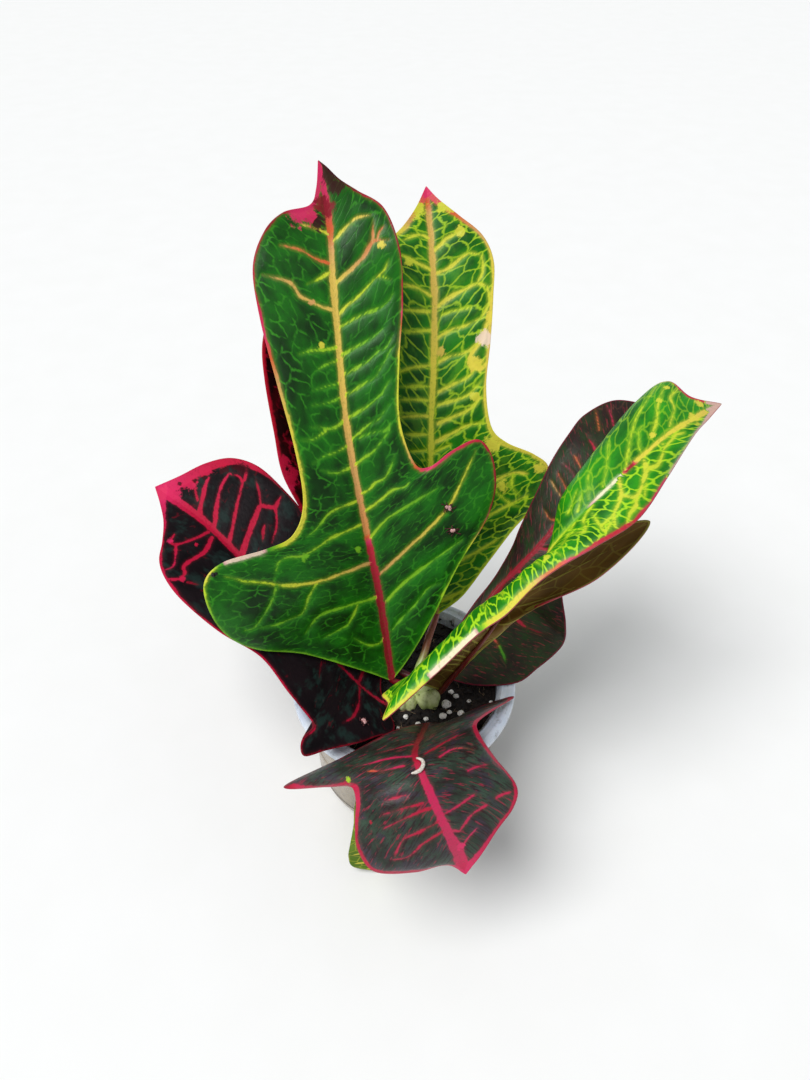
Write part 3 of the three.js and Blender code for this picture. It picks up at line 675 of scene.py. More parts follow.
BACK_GREEN = {
    "node": "leaf_back_green",
    "midrib": [
        (437, 615, 78), (431, 459, 138), (434, 354, 176), (434.6, 301, 194), (432, 252, 210),
        (426, 186, 231)],
    "pose": [(0, 0, -10, -8, -6, -8), (0.5, 0, 6, 4, -8, -8), (1, 0, 6, 6, -8, -8)],
    "ribs": [
        (0, 0, 0, 0, 0), (6, -8, 8, 12, 7), (14, -16, 22, 24, 20), (24, -26, 40, 37, 34),
        (33, -34, 56, 49, 46), (42, -36, 68, 53, 60), (50, -32, 77, 46, 67), (58, -26, 82, 33, 73),
        (68, -24, 88, 26, 80), (82, -22, 100, 23, 96), (98, -23, 116, 24, 114), (114, -25, 132, 25, 130),
        (130, -25, 144, 26, 143), (144, -19, 152, 22, 153), (156, -11, 159, 13, 161),
        (166, -5, 166, 5, 168), (174, 0, 174, 0, 174)],
    "stalk": [(9, -4, 58), (6, -2, 64), (9, 5, 69), (11, 11, 73)],
    "midrib_mm": [
        ((437, 615), 2.2, 0.5), ((433, 560), 2.0, 0.7), ((431, 459), 2.3, 0.66), ((433, 400), 2.5, 0.63),
        ((434, 340), 2.5, 0.58), ((433, 285), 2.5, 0.55), ((430, 215), 2.0, 0.52), ((428, 203), 1.8, 0.4),
        ((426, 188), 1.4, 0.34)],
    "veins": {1: [
        (1.4, 0.8, 0.62, 0.66, (434, 250), (447, 239), (459, 233)),
        (1.4, 0.8, 0.62, 0.66, (436.7, 273), (449, 268), (467, 253.5), (481.6, 255.5)),
        (0.8, 0.6, 0.66, 0.66, (482, 257), (483, 265), (481.6, 274), (475.5, 284)),
        (1.4, 0.9, 0.62, 0.66, (437.8, 306.5), (449, 298.4), (465, 289), (475.5, 284), (487.8, 286)),
        (0.8, 0.6, 0.66, 0.66, (488, 288), (488.8, 302), (481.6, 319)),
        (0.6, 0.5, 0.7, 0.7, (442, 315), (455, 311), (471.4, 307.6)),
        (1.1, 0.7, 0.64, 0.66, (437, 337), (453, 330), (467, 326), (479.6, 319)),
        (1.1, 0.7, 0.64, 0.66, (438.8, 361.6), (451, 356.5), (465, 353.5), (477.6, 343), (483.7, 333)),
        (1.2, 0.7, 0.64, 0.68, (438.8, 391), (453, 384), (467, 378), (475.5, 370)),
        (1.0, 0.6, 0.66, 0.68, (438.8, 405.5), (451, 401.4), (465, 396), (475, 388), (481.6, 380)),
        (1.2, 0.7, 0.64, 0.68, (437.8, 424), (451, 416.7), (469.4, 410.6), (481.6, 396)),
        (1.1, 0.8, 0.64, 0.68, (436.7, 441), (453, 433), (469.4, 425), (485.7, 423)),
        (0.8, 0.6, 0.68, 0.7, (434, 453), (443, 448), (451, 445)),
        (1.2, 0.8, 0.66, 0.62, (470, 489), (492, 481), (514, 472), (526.5, 474)),
        (1.0, 1.5, 0.6, 0.62, (488, 323), (482, 339), (471, 358), (480, 370), (490, 358), (493, 338)),
        (0.7, 0.6, 0.7, 0.7, (489, 484), (500, 496), (512, 505), (520, 507)),
        (0.7, 0.5, 0.7, 0.7, (513, 473), (512, 487), (519, 496)),
    ], -1: [
        (1.1, 0.6, 0.64, 0.68, (429.6, 239), (418.4, 235), (402, 241)),
        (1.2, 0.7, 0.64, 0.68, (430.6, 270), (416, 263.7), (402, 255.5)),
        (1.1, 0.7, 0.64, 0.68, (430.6, 296), (416, 288), (400, 283)),
        (1.0, 0.6, 0.66, 0.7, (430.6, 311.6), (414, 311.6), (400, 309.6)),
        (0.9, 0.6, 0.68, 0.7, (430.6, 331), (415, 331), (400, 330)),
        (1.0, 0.6, 0.66, 0.7, (430.6, 365.7), (412, 367.8), (400, 371.8)),
        (0.7, 0.5, 0.7, 0.72, (429.6, 386), (415, 386), (400, 387)),
        (0.9, 0.6, 0.68, 0.7, (429.6, 400.4), (415, 400), (400, 400.4)),
        (1.4, 0.8, 0.64, 0.68, (428.6, 415.7), (415, 416), (400, 416.7)),
        (0.9, 0.6, 0.68, 0.7, (428.6, 434), (415, 434), (404, 434)),
        (0.7, 0.5, 0.7, 0.72, (426.5, 450.4), (418, 451), (410, 451.4))]},
    "edges": {1: [
        ((437, 615), 0.8, 0.7), ((545, 480), 0.5, 0.66), ((546, 467), 1.2, 0.6), ((520, 452), 1.0, 0.6),
        ((499, 443), 2.0, 0.62), ((492, 425), 1.6, 0.62), ((491, 380), 0.7, 0.58), ((494, 345), 1.0, 0.55),
        ((498, 320), 1.4, 0.58), ((498, 285), 1.0, 0.6), ((490, 252), 1.0, 0.58), ((468, 222), 1.2, 0.45),
        ((445, 204), 1.8, 0.35), ((426, 186), 3.0, 0.33)
    ], -1: [
        ((437, 615), 0.6, 0.7), ((405, 450), 0.8, 0.68), ((399, 400), 0.8, 0.68), ((400, 260), 1.0, 0.62),
        ((403, 232), 1.6, 0.6), ((414, 206), 1.8, 0.37), ((426, 186), 3.0, 0.33)]},
    "hidden_veins": {-1: even_veins(0.08, 0.4, 4, 1.6, 0.68), 1: even_veins(0.06, 0.25, 3, 1.6, 0.68)},
    "blotches": [
        (1, (441.8, 351.4), 2.6, 0.56), (1, (492, 443), 4.4, 0.62), (1, (476, 362), 4.4, 0.6),
        (1, (484, 338), 3.6, 0.98), (1, (493, 318), 3.0, 0.6), (1, (460, 232), 2.5, 0.64),
        (-1, (408, 262), 2.0, 0.66), (-1, (410, 205), 5, 0.66), (1, (447, 205), 4, 0.66),
        (1, (476, 398), 2.4, 0.64), (1, (540, 466), 3.2, 0.62), (1, (503, 486), 3, 0.64),
        (-1, (427, 192), 3, 0.3)],
    "quilt_mm": 0.45, "ripple_mm": 1.2, "seed": 2.1, "net": (0.75, 0.75),
}

LEFT_DARK = {
    "node": "leaf_left_dark",
    "midrib": [
        (385, 704, 61), (361, 686.5, 66), (295, 620, 86), (237, 555, 100), (203, 521, 107),
        (155, 487, 112)],
    "pose": [
        (0, 0, 15, -20, -18, 4), (0.35, -3, 22, 0, -14, 0), (0.6, -8, 20, 16, -10, -8),
        (1, -14, 10, 14, -8, -8)],
    "ribs": [
        (0, 0, 0, 0, 0), (4, -9, -9, 7, 5), (8, -18, -4, 17, 11), (12, -27, 3, 27, 18),
        (16, -36, 8, 33, 26), (20, -44, 12, 38, 34), (24, -40, 17, 40, 42), (28, -32, 17, 40, 48),
        (32, -30, 26, 37, 53), (36, -29, 34, 33, 58), (48, -27, 50, 28, 68), (62, -32, 66, 30, 78),
        (76, -35, 84, 35, 90), (90, -34, 99, 36, 104), (104, -30, 111, 36, 118), (117, -22, 120, 32, 129),
        (129, -13, 130, 23, 137), (140, -6, 140, 11, 143), (150, 0, 150, 0, 150)],
    "stalk": [(8, -6, 53), (-1, -11, 57)],
    "midrib_mm": [
        ((385, 704), 1.4, 0.2), ((361, 686), 0.8, 0.12), ((295, 622), 1.6, 0.12), ((237, 554), 2.6, 0.17),
        ((214, 534), 3.2, 0.19), ((189, 508), 3.8, 0.21), ((170, 497), 4.6, 0.26), ((156, 488), 6, 0.3)],
    "veins": {1: [
        (2.2, 1.6, 0.2, 0.22, (199.5, 511.6), (203.5, 494), (204.9, 484.8), (208.9, 478)),
        (2.2, 1.4, 0.2, 0.22, (213.6, 529), (216.9, 506), (220.3, 488.8), (227.6, 475.4), (230.3, 472.8)),
        (1.7, 1.0, 0.2, 0.2, (229, 542.4), (231.7, 530.3), (235.7, 509), (241, 487.5), (242.4, 482),
         (237, 475.4), (230.3, 474)),
        (1.4, 1.0, 0.2, 0.2, (242.4, 482), (245, 479.5), (246, 470), (246.4, 463.4)),
        (2.4, 1.8, 0.2, 0.2, (242.4, 551.7), (249, 531.7), (257, 514.3), (259.8, 506), (269, 507.6),
         (275.8, 506), (279.9, 496.9)),
        (1.0, 0.5, 0.18, 0.15, (259.8, 506), (259.8, 494), (257, 479.5)),
        (1.0, 0.7, 0.2, 0.2, (275.8, 507.6), (277, 525), (271.8, 542.4)),
        (0.9, 0.6, 0.18, 0.15, (264.5, 526.3), (263.5, 534), (262.4, 541)),
        (1.1, 0.7, 0.2, 0.2, (197, 500), (196, 490), (194, 482), (200, 476)),
    ], -1: [
        (1.9, 1.4, 0.2, 0.2, (212.9, 538), (203.5, 551.7), (188.8, 562.4), (183.5, 567.8), (184.8, 573),
         (182, 578.5)),
        (1.2, 0.9, 0.18, 0.2, (208.9, 533), (194.2, 538.4), (175.4, 545), (171.4, 542.4), (174, 534.3)),
        (1.0, 0.8, 0.2, 0.24, (175.4, 545), (174, 565), (164.7, 570.5)),
        (1.6, 1.2, 0.2, 0.22, (182, 578.5), (174, 579.9), (164.7, 578.5)),
        (0.6, 0.4, 0.12, 0.1, (186, 582.5), (192, 584), (198, 585)),
        (0.9, 0.7, 0.1, 0.14, (359.7, 687.8), (359, 703.8), (353.4, 716.6), (342.2, 723.7)),
        (0.7, 0.4, 0.06, 0.0, (321.5, 662), (320, 672), (319, 679.9))]},
    "edges": {1: [
        ((300, 560), 0.4, 0.08), ((279, 490), 0.5, 0.1), ((272, 473), 1.2, 0.16), ((258, 460), 3.0, 0.2),
        ((238, 457), 3.4, 0.2), ((212, 465), 4.6, 0.21), ((190, 474), 5.5, 0.24), ((170, 480), 6.5, 0.28),
        ((155, 487), 9.0, 0.3)
    ], -1: [
        ((400, 731), 0.3, 0.05), ((331, 750), 0.4, 0.1), ((303, 750), 0.3, 0.1), ((306, 736), 0.5, 0.16),
        ((316, 728), 0.6, 0.2), ((298, 700), 0.2, 0.1), ((290, 688), 0.5, 0.18), ((262, 662), 0.5, 0.18),
        ((230, 640), 0.5, 0.2), ((196, 622), 0.4, 0.18), ((172, 600), 1.0, 0.2), ((163, 575), 1.2, 0.22),
        ((161, 545), 0.7, 0.2), ((162, 515), 1.2, 0.24), ((160, 500), 3.5, 0.31), ((155, 487), 9.0, 0.31)]},
    "hidden_veins": {1: even_veins(0.2, 0.5, 3, 1.2, 0.1)},
    "blotches": [
        (1, (172.8, 494), 5.0, 0.27), (1, (190, 483.5), 4.4, 0.24), (1, (206, 471.4), 3.6, 0.22),
        (1, (222.3, 464.7), 3.0, 0.2), (-1, (162, 494), 5.0, 0.31), (-1, (195.5, 545), 1.3, 0.2),
        (1, (194, 481), 2.0, 0.0), (1, (206, 478), 1.8, 0.0), (1, (180, 484), 1.2, 0.0),
        (1, (225, 470), 2.6, 0.0), (1, (240, 468), 4.0, 0.0), (-1, (171.4, 542.4), 2.0, 0.28),
        (-1, (182, 578.5), 1.8, 0.22)],
    "quilt_mm": 0.4, "ripple_mm": 1.0, "seed": 3.7, "net": (0.6, 0.5),
}

BACK_LEFT_DARK = {
    "node": "leaf_back_left_dark",
    "midrib": [(394, 668, 62), (372, 560, 105), (340, 400, 163), (306, 290, 199), (290, 255, 211)],
    "pose": [(0, 8, 10, 10, -6, -6), (1, 12, 6, 6, -8, -8)],
    "ribs": [
        (0, 0, 0, 0, 0), (8, -10, 10, 4, 10), (20, -22, 26, 5, 24), (32, -34, 44, 6, 40),
        (44, -36, 58, 7, 54), (56, -28, 68, 8, 66), (68, -27, 76, 8, 78), (84, -33, 96, 9, 96),
        (102, -33, 115, 10, 114), (120, -32, 136, 12, 134), (138, -29, 150, 14, 150),
        (154, -22, 162, 14, 163), (168, -13, 173, 11, 174), (178, -5, 181, 5, 181), (186, 0, 186, 0, 186)],
    "stalk": [(8, -2, 58), (2, 1, 59)],
    "midrib_mm": [((394, 668), 1.6, 0.15), ((340, 400), 2.4, 0.16), ((290, 255), 1.6, 0.2)],
    "veins": {-1: [
        (0.8, 0.4, 0.16, 0.12, (283.9, 497), (290, 507), (297, 515.6)),
        (1.6, 1.2, 0.2, 0.24, (277, 452), (279, 468), (283, 482))]},
    "hidden_veins": {-1: even_veins(0.1, 0.9, 12, 1.3, 0.14), 1: even_veins(0.15, 0.9, 8, 0.9, 0.12)},
    "blotches": [(-1, (283, 463), 3.6, 0.18), (-1, (288, 478), 4.6, 0.18), (-1, (287, 490), 3.2, 0.22)],
    "quilt_mm": 0.4, "ripple_mm": 0.8, "seed": 5.2, "net": (0.6, 0.6),
}

RIGHT_DARK = {
    "node": "leaf_right_dark",
    "midrib": [(440, 676, 62), (493, 595, 93), (542, 543, 115), (600, 468, 140), (650, 405, 153)],
    "pose": [
        (0, 0, 0, -25, -4, -4), (0.3, 0, 0, -42, -4, -4), (0.55, 0, 0, -20, -6, -6), (1, 0, 0, 0, -6, -6)],
    "ribs": [
        (0, 0, 0, 0, 0), (8, -4, 10, 15, 5), (18, -5, 22, 30, 15), (28, -5, 36, 35, 26),
        (38, -5, 46, 38, 37), (46, -7, 54, 37, 48), (54, -11, 64, 31, 58), (64, -14, 74, 18, 68),
        (78, -18, 92, 10, 84), (94, -21, 108, 8, 102), (110, -22, 123, 8, 120), (124, -22, 137, 8, 134),
        (138, -15, 150, 7, 146), (155, 0, 155, 0, 155)],
    "stalk": [(9, -3, 60), (12, -2.5, 61)],
    "midrib_mm": [
        ((440, 676), 1.8, 0.15), ((493, 595), 2.2, 0.15), ((600, 468), 2.0, 0.17), ((650, 405), 1.4, 0.2)],
    "veins": {-1: [
        (0.6, 0.4, 0.42, 0.42, (599.7, 430.5), (598.3, 420.7), (595.6, 409.5)),
        (0.7, 0.5, 0.24, 0.28, (613.6, 426.3), (612.2, 416.5), (606, 406)),
        (0.9, 0.6, 0.24, 0.18, (596.9, 452.9), (592.8, 445.9), (588.6, 438.9)),
        (0.5, 0.3, 0.42, 0.42, (584.4, 476.8), (580.3, 467), (574.7, 455.7)),
        (0.4, 0.3, 0.3, 0.3, (574.7, 478), (572, 472.6), (563.6, 464)),
        (0.5, 0.3, 0.4, 0.4, (570.6, 496.4), (565, 485), (558, 474)),
        (0.4, 0.3, 0.5, 0.5, (565, 503.4), (559.4, 495), (551, 481)),
        (0.4, 0.3, 0.4, 0.45, (554, 520), (549.7, 518.8), (544, 509)),
        (0.4, 0.3, 0.14, 0.1, (514, 577), (511, 571), (509.7, 566.9)),
    ], 1: [
        (1.2, 0.8, 0.16, 0.2, (508, 611), (517, 620), (524, 626), (530, 629)),
        (0.4, 0.3, 0.1, 0.06, (530, 629), (538, 632), (548, 634)),
        (0.7, 0.4, 0.2, 0.42, (480, 628), (487, 634.6), (494, 640), (499.4, 646)),
        (0.4, 0.3, 0.86, 0.9, (499.4, 646), (503, 655), (506.3, 663))]},
    "hidden_veins": {1: even_veins(0.5, 0.92, 6, 0.9, 0.2)},
    "quilt_mm": 0.35, "ripple_mm": 0.9, "seed": 6.4, "net": (0.6, 0.6),
}

FRONT_CRIMSON = {
    "node": "leaf_front_crimson",
    "rows": [
        [(428, 723, 57)],
        [(424, 731, 66), (438, 724, 66), (446, 722, 65), (417, 729, 66), (412, 725.5, 65)],
        [(420, 739, 74), (448, 724, 74), (477, 708, 68), (405, 736, 74), (388, 733, 72)],
        [(417, 746, 80), (470, 712, 78), (513, 697, 63), (375, 752, 80), (341, 759, 72)],
        [(415, 752, 84), (462, 722, 80), (496, 708, 66), (350, 768, 83), (284, 787, 66)],
        [(416, 759, 87), (450, 738, 84), (478, 722, 71), (365, 780, 86), (327, 786, 72)],
        [(418, 766, 88), (450, 748, 86), (480, 734, 74), (378, 785, 87), (350, 786, 76)],
        [(423, 777, 88), (462, 756, 87), (495, 757, 76), (382, 795, 87), (356, 800, 78)],
        [(430, 793, 85), (475, 768, 85), (516, 785, 76), (390, 815, 84), (355, 826, 72)],
        [(437, 809, 80), (482, 790, 80), (514, 806, 71), (395, 835, 78), (358, 850, 64)],
        [(446, 829, 72), (478, 815, 72), (497, 830, 64), (408, 855, 70), (375, 871, 56)],
        [(455, 846, 63), (470, 842, 62), (482, 853, 57), (430, 862, 62), (415, 871.5, 54)],
        [(461, 861, 54), (466, 860, 54), (471, 867, 51), (452, 866, 53), (447, 864, 51)],
        [(466, 874, 48)]],
    "stalk": [(10, -22, 44), (10, -22, 51)],
    "midrib_mm": [
        ((428, 723), 2.4, 0.1), ((415, 752), 2.4, 0.14), ((420, 772), 2.2, 0.24), ((433, 800), 2.8, 0.28),
        ((450, 833), 3.4, 0.28), ((456, 846), 4.2, 0.27), ((461, 861), 5.0, 0.27), ((465, 872), 5.0, 0.24)],
    "veins": {1: [
        (1.0, 0.5, 0.2, 0.24, (414, 745), (398, 748.5), (377.3, 754.8)),
        (1.0, 0.5, 0.24, 0.3, (412.4, 757), (391.6, 758.8), (374, 762.8), (356.6, 767.6)),
        (0.7, 0.4, 0.24, 0.4, (404, 767), (394, 768.5), (382, 771), (368, 772)),
        (0.5, 0.3, 0.2, 0.24, (423.5, 802.7), (412, 806), (401, 809), (382, 815.4)),
        (0.8, 0.4, 0.2, 0.24, (430, 808), (418.8, 812), (398, 821.8), (383.7, 828)),
        (0.8, 0.4, 0.2, 0.24, (437.9, 821.8), (417, 833), (402.8, 839.4), (394.8, 855)),
        (0.8, 0.4, 0.2, 0.24, (443, 830), (422, 844), (407.6, 856.9), (391.6, 858.5)),
        (0.5, 0.3, 0.2, 0.24, (405, 795), (396, 798), (386, 801)),
    ], -1: [
        (0.6, 0.3, 0.14, 0.2, (423.5, 754.8), (437.9, 746.9), (458.6, 735.7)),
        (0.7, 0.4, 0.24, 0.4, (440, 757), (455.4, 748.5), (471.4, 750)),
        (1.0, 0.6, 0.24, 0.26, (442, 815), (457, 805.9), (468, 797.9), (476, 793)),
        (0.9, 0.6, 0.24, 0.24, (460, 829.8), (468, 818.6), (474.6, 812), (487.3, 804)),
        (1.4, 0.8, 0.26, 0.24, (450, 831.4), (455, 831), (460, 831.4)),
        (0.8, 0.5, 0.24, 0.24, (496, 797), (503, 794), (511, 791.5)),
        (0.8, 0.5, 0.24, 0.3, (460, 848), (468, 838), (476, 828)),
        (0.5, 0.3, 0.24, 0.24, (468, 771), (478, 767), (488, 764))]},
    "edges": {1: [
        ((412, 725), 0.4, 0.04), ((388, 733), 0.4, 0.06), ((341, 759), 0.6, 0.02), ((310, 771), 0.4, 0.0),
        ((284, 787), 1.2, 0.1), ((300, 787), 1.4, 0.24), ((327, 786), 1.8, 0.22), ((350, 786), 2.6, 0.22),
        ((356, 800), 2.2, 0.24), ((355, 826), 1.4, 0.2), ((358, 850), 1.2, 0.18), ((375, 871), 1.8, 0.22),
        ((415, 871), 2.2, 0.22), ((447, 864), 2.4, 0.26), ((466, 874), 4.0, 0.3)
    ], -1: [
        ((446, 722), 0.4, 0.02), ((490, 706), 0.5, 0.02), ((513, 697), 1.0, 0.12), ((496, 708), 1.4, 0.22),
        ((478, 722), 1.6, 0.22), ((480, 736), 2.6, 0.22), ((495, 757), 2.2, 0.22), ((512, 780), 1.6, 0.22),
        ((516, 795), 1.4, 0.22), ((506, 818), 1.2, 0.22), ((490, 840), 1.4, 0.24), ((474, 862), 2.4, 0.28),
        ((466, 874), 4.0, 0.3)]},
    "blotches": [(1, (347.8, 779), 1.3, 0.75), (-1, (461, 846), 2.0, 0.3), (1, (372, 822), 1.0, 0.16)],
    "quilt_mm": 0.35, "ripple_mm": 0.6, "seed": 7.9, "net": (0.5, 0.5),
}

RIGHT_FOLDED = {
    "node": "leaf_right_folded",
    "rows": [
        [(440, 690, 58)],
        [(450, 678, 66), (453, 676, 66), (456, 677, 66), (425, 665, 74), (412, 684, 70)],
        [(460, 666, 74), (464, 664, 74), (468, 664, 75), (422, 662, 86), (383, 694, 84)],
        [(465, 660, 78), (469, 658.5, 78), (474, 658, 79), (423, 648, 95), (388, 704, 88)],
        [(470, 654, 82), (474, 653, 82), (480, 652, 83), (424, 634, 104), (385.5, 719, 92)],
        [(482, 640, 90), (488, 640, 89), (496, 638, 90), (440, 615, 112), (440, 671, 102)],
        [(500, 617, 101), (520, 622, 104), (530, 609, 106), (466, 590, 122), (478, 635, 116)],
        [(512, 603, 108), (570, 585, 110), (600, 577, 114), (500, 570, 130), (506, 615, 124)],
        [(524, 588, 115), (590, 550, 117), (650, 522, 120), (530, 545, 138), (535, 586, 130)],
        [(537, 571, 122), (565, 545, 123), (585, 530, 123), (560, 530, 142), (562, 566, 136)],
        [(556, 543, 132), (556, 510, 138), (560, 508, 134), (592, 520, 146), (597, 546, 142)],
        [(590, 506, 145), (575, 470, 152), (590, 460, 146), (620, 508, 150), (638, 520, 146)],
        [(629, 469, 153), (612, 425, 160), (640, 398, 156), (650, 478, 155), (667, 478, 150)],
        [(666, 436, 158), (650, 400, 164), (668, 381, 162), (682, 442, 157), (693, 437, 154)],
        [(695, 418, 158), (685, 404, 160), (692, 397, 160), (702, 420, 157), (709, 419, 156)],
        [(722, 404, 155)]],
    "stalk": [(9, -5, 53), (12, -5.5, 55)],
    "midrib_mm": [
        ((440, 690), 1.4, 0.2), ((537, 571), 1.0, 0.5), ((575, 522), 1.0, 0.8), ((600, 497), 1.2, 1.0),
        ((623, 474), 1.4, 1.0), ((625, 472), 1.2, 0.14), ((634, 463), 1.2, 0.14), ((636, 461), 1.4, 0.6),
        ((695, 419), 1.8, 0.6), ((708, 411), 2.0, 0.56), ((709, 410), 2.2, 0.94), ((720, 404), 2.7, 0.94)],
    "veins": {-1: [
        (0.6, 0.4, 0.7, 0.72, (624.7, 469.8), (628.9, 450), (635.8, 420.7), (645.6, 402.4), (656.7, 387)),
        (0.6, 0.5, 0.68, 0.68, (651, 438.9), (655.3, 422), (659.4, 403.8), (665, 385.6)),
        (0.6, 0.4, 0.66, 0.68, (669.9, 426.3), (673.3, 408), (670.6, 398), (678.9, 388.4)),
        (0.4, 0.3, 0.72, 0.72, (640, 450), (639.3, 433), (641.4, 426)),
        (0.4, 0.3, 0.72, 0.75, (603.9, 486.6), (606.7, 458.5), (609.4, 441.7)),
        (0.4, 0.3, 0.72, 0.75, (588.6, 499), (588.6, 478), (592.8, 467)),
        (0.5, 0.4, 0.72, 0.75, (579, 511), (580.3, 500), (580.3, 492)),
        (0.4, 0.3, 0.72, 0.75, (568, 514), (572, 502), (577, 490)),
    ], 1: [
        (1.4, 0.9, 0.62, 0.7, (619, 478), (620.6, 496.4), (615, 513), (615, 527)),
        (1.2, 1.4, 0.66, 0.66, (620.6, 496.4), (635.8, 496.4), (642.8, 483.8), (645.6, 469.8),
         (642.8, 458.5)),
        (1.1, 1.0, 0.68, 0.68, (635.8, 496.4), (635.8, 506), (630, 514.6), (628.9, 524.5)),
        (1.2, 1.1, 0.68, 0.68, (645.6, 469.8), (658, 464), (663.6, 450), (660.8, 441.7)),
        (1.0, 0.8, 0.68, 0.68, (663.6, 450), (670, 442), (676, 436), (684.4, 433)),
        (0.8, 0.6, 0.7, 0.7, (645.6, 483.8), (644.2, 499)),
        (0.9, 0.9, 0.7, 0.7, (615, 513), (603.9, 523), (599.7, 524.5), (592.8, 514.6)),
        (1.0, 0.9, 0.7, 0.7, (592.8, 506), (584.4, 520), (584.4, 531.5), (567.8, 535.7), (560.8, 548)),
        (0.8, 0.7, 0.7, 0.7, (599.7, 524.5), (605.3, 531.5), (612.2, 520)),
        (0.8, 0.8, 0.7, 0.7, (578.9, 511.8), (573.3, 520), (571, 530))]},
    "edges": {1: [
        ((412, 684), 0.8, 0.68), ((392, 691), 1.2, 0.64), ((383, 694), 1.6, 0.62), ((388, 704), 1.4, 0.64),
        ((385.5, 719), 1.6, 0.62), ((404, 702), 1.4, 0.64), ((424, 684), 1.7, 0.64),
        # The cream stops from (431, 678) to (477, 636) are a painted highlight where the margin folds over.
        ((431, 678), 2.2, 0.98), ((455, 657), 2.8, 1.0), ((477, 636), 2.4, 1.0), ((490, 626), 2.4, 0.63),
        ((515, 604), 2.6, 0.62), ((535, 586), 1.8, 0.57), ((548, 576), 1.3, 0.42), ((562, 566), 1.2, 0.4),
        ((577, 556), 1.0, 0.22), ((597, 546), 1.6, 0.19), ((620, 534), 1.6, 0.19), ((638, 520), 1.5, 0.2),
        ((650, 503), 1.0, 0.26), ((667, 478), 0.9, 0.3), ((668, 476), 0.8, 0.94), ((693, 437), 0.6, 0.94),
        ((709, 419), 1.4, 0.94), ((722, 404), 4, 0.94)
    ], -1: [
        ((600, 577), 0.8, 0.16), ((650, 522), 0.9, 0.2), ((585, 530), 0.6, 0.5), ((590, 460), 0.4, 0.78),
        ((640, 398), 0.4, 0.74), ((668, 381), 0.5, 0.6), ((680, 388), 0.9, 0.25), ((692, 397), 1.3, 0.2),
        ((703, 402), 1.2, 0.22), ((704, 402), 1.4, 0.94), ((722, 404), 3, 0.94)]},
    "hidden_veins": {-1: even_veins(0.2, 0.62, 8, 0.5, 0.8), 1: even_veins(0.1, 0.58, 12, 0.8, 0.74)},
    "blotches": [
        (-1, (658, 401), 1.8, 0.66), (-1, (666, 388), 2.0, 0.64), (-1, (651, 436), 1.6, 0.62),
        (1, (636, 506), 1.4, 0.66), (1, (691, 414), 3.0, 0.62), (1, (679, 421), 1.6, 0.62),
        (1, (547, 558), 1.8, 0.66), (-1, (700, 404), 2.6, 0.62)],
    "quilt_mm": 0.4, "ripple_mm": 0.5, "seed": 8.8, "net": (0.4, 1.0),
}

LOW_FRONT = {
    "node": "leaf_low_front",
    "rows": [
        [(396, 742, 68)],
        [(388, 765, 68), (380, 766, 67), (374, 768, 66), (396, 765, 67), (402, 766, 66)],
        [(380, 795, 51), (366, 798, 50), (356, 800, 48), (394, 797, 50), (404, 798, 48)],
        [(375, 822, 32), (364, 824, 31), (353.5, 825, 29), (390, 824, 31), (402, 824, 29)],
        [(373, 840, 20), (362, 842, 19), (350, 845, 17), (388, 842, 19), (402, 843, 17)],
        [(373, 856, 10), (360, 857, 10), (348.5, 857, 9), (388, 857, 10), (398, 856, 9)],
        [(375, 866, 4), (364, 867, 5), (354, 867, 4), (384, 866, 5), (392, 865, 4)],
        [(380, 871, 1.5)]],
    "stalk": [(3, -25, 46), (2, -28, 55), (0, -34, 62)],
    "midrib_mm": [((396, 742), 1.6, 0.5), ((375, 822), 1.6, 0.6), ((380, 870), 1.0, 0.6)],
    "hidden_veins": {-1: even_veins(0.1, 0.9, 8, 1.0, 0.66), 1: even_veins(0.12, 0.92, 8, 1.0, 0.66)},
    "quilt_mm": 0.3, "ripple_mm": 0.4, "seed": 9.9, "net": (0.9, 0.9),
}


# ---------------------------------------------------------------- a leaf's shape

MIDRIB_STEPS = 400
CURL_SPAN = 50        # mm of reach over which a pose's curl is turned
ROW_INSET = 0.03      # a blade starts and ends this part of a row inside its first and last row


def flat_rails(leaf):
    """Midrib, left bend, left edge, right bend and right edge of a nearly flat blade, rib by rib."""
    knots = np.array([seen(*point) for point in leaf["midrib"]])
    fine = catmull(knots, np.linspace(0, len(knots) - 1, MIDRIB_STEPS))
    run = run_along(fine)
    length = run[-1]
    pose = np.array(leaf["pose"], float)

    def at(along):
        return np.array([np.interp(along, run, fine[:, k]) for k in range(3)])

    def place(out, along):
        inside = min(max(along, 0), length)
        ahead = unit(at(min(inside + 1, length)) - at(max(inside - 1, 0)))
        root = at(inside) + ahead * (along - inside)
        turn, left_fold, right_fold, left_curl, right_curl = [
            math.radians(np.interp(inside / length, pose[:, 0], pose[:, k])) for k in range(1, 6)]
        level = unit(np.array([ahead[1], -ahead[0], 0]))
        upright = np.cross(level, ahead)
        side = level * math.cos(turn) - upright * math.sin(turn)
        face = upright * math.cos(turn) + level * math.sin(turn)
        fold = right_fold if out > 0 else left_fold
        curl = (right_curl if out > 0 else left_curl) / CURL_SPAN or 1e-6
        bent = fold + curl * abs(out)
        across = (math.sin(bent) - math.sin(fold)) / curl
        lift = (math.cos(fold) - math.cos(bent)) / curl
        return root + side * across * np.sign(out) + face * lift

    scale = length / leaf["ribs"][-1][0]
    rows = []
    for start, left_out, left_along, right_out, right_along in leaf["ribs"]:
        root = place(0, start * scale)
        row = [root]
        for out, along in ((left_out, left_along), (right_out, right_along)):
            edge = place(out, along * scale)
            middle = place(out / 2, (along + start) / 2 * scale)
            row += [2 * middle - (root + edge) / 2, edge]
        rows.append(row)
    return np.array(rows)


def folded_rails(leaf):
    """The same five rails of a leaf that is given row by row."""
    return np.array([[seen(*(row[k] if k < len(row) else row[0])) for k in range(5)] for row in leaf["rows"]])


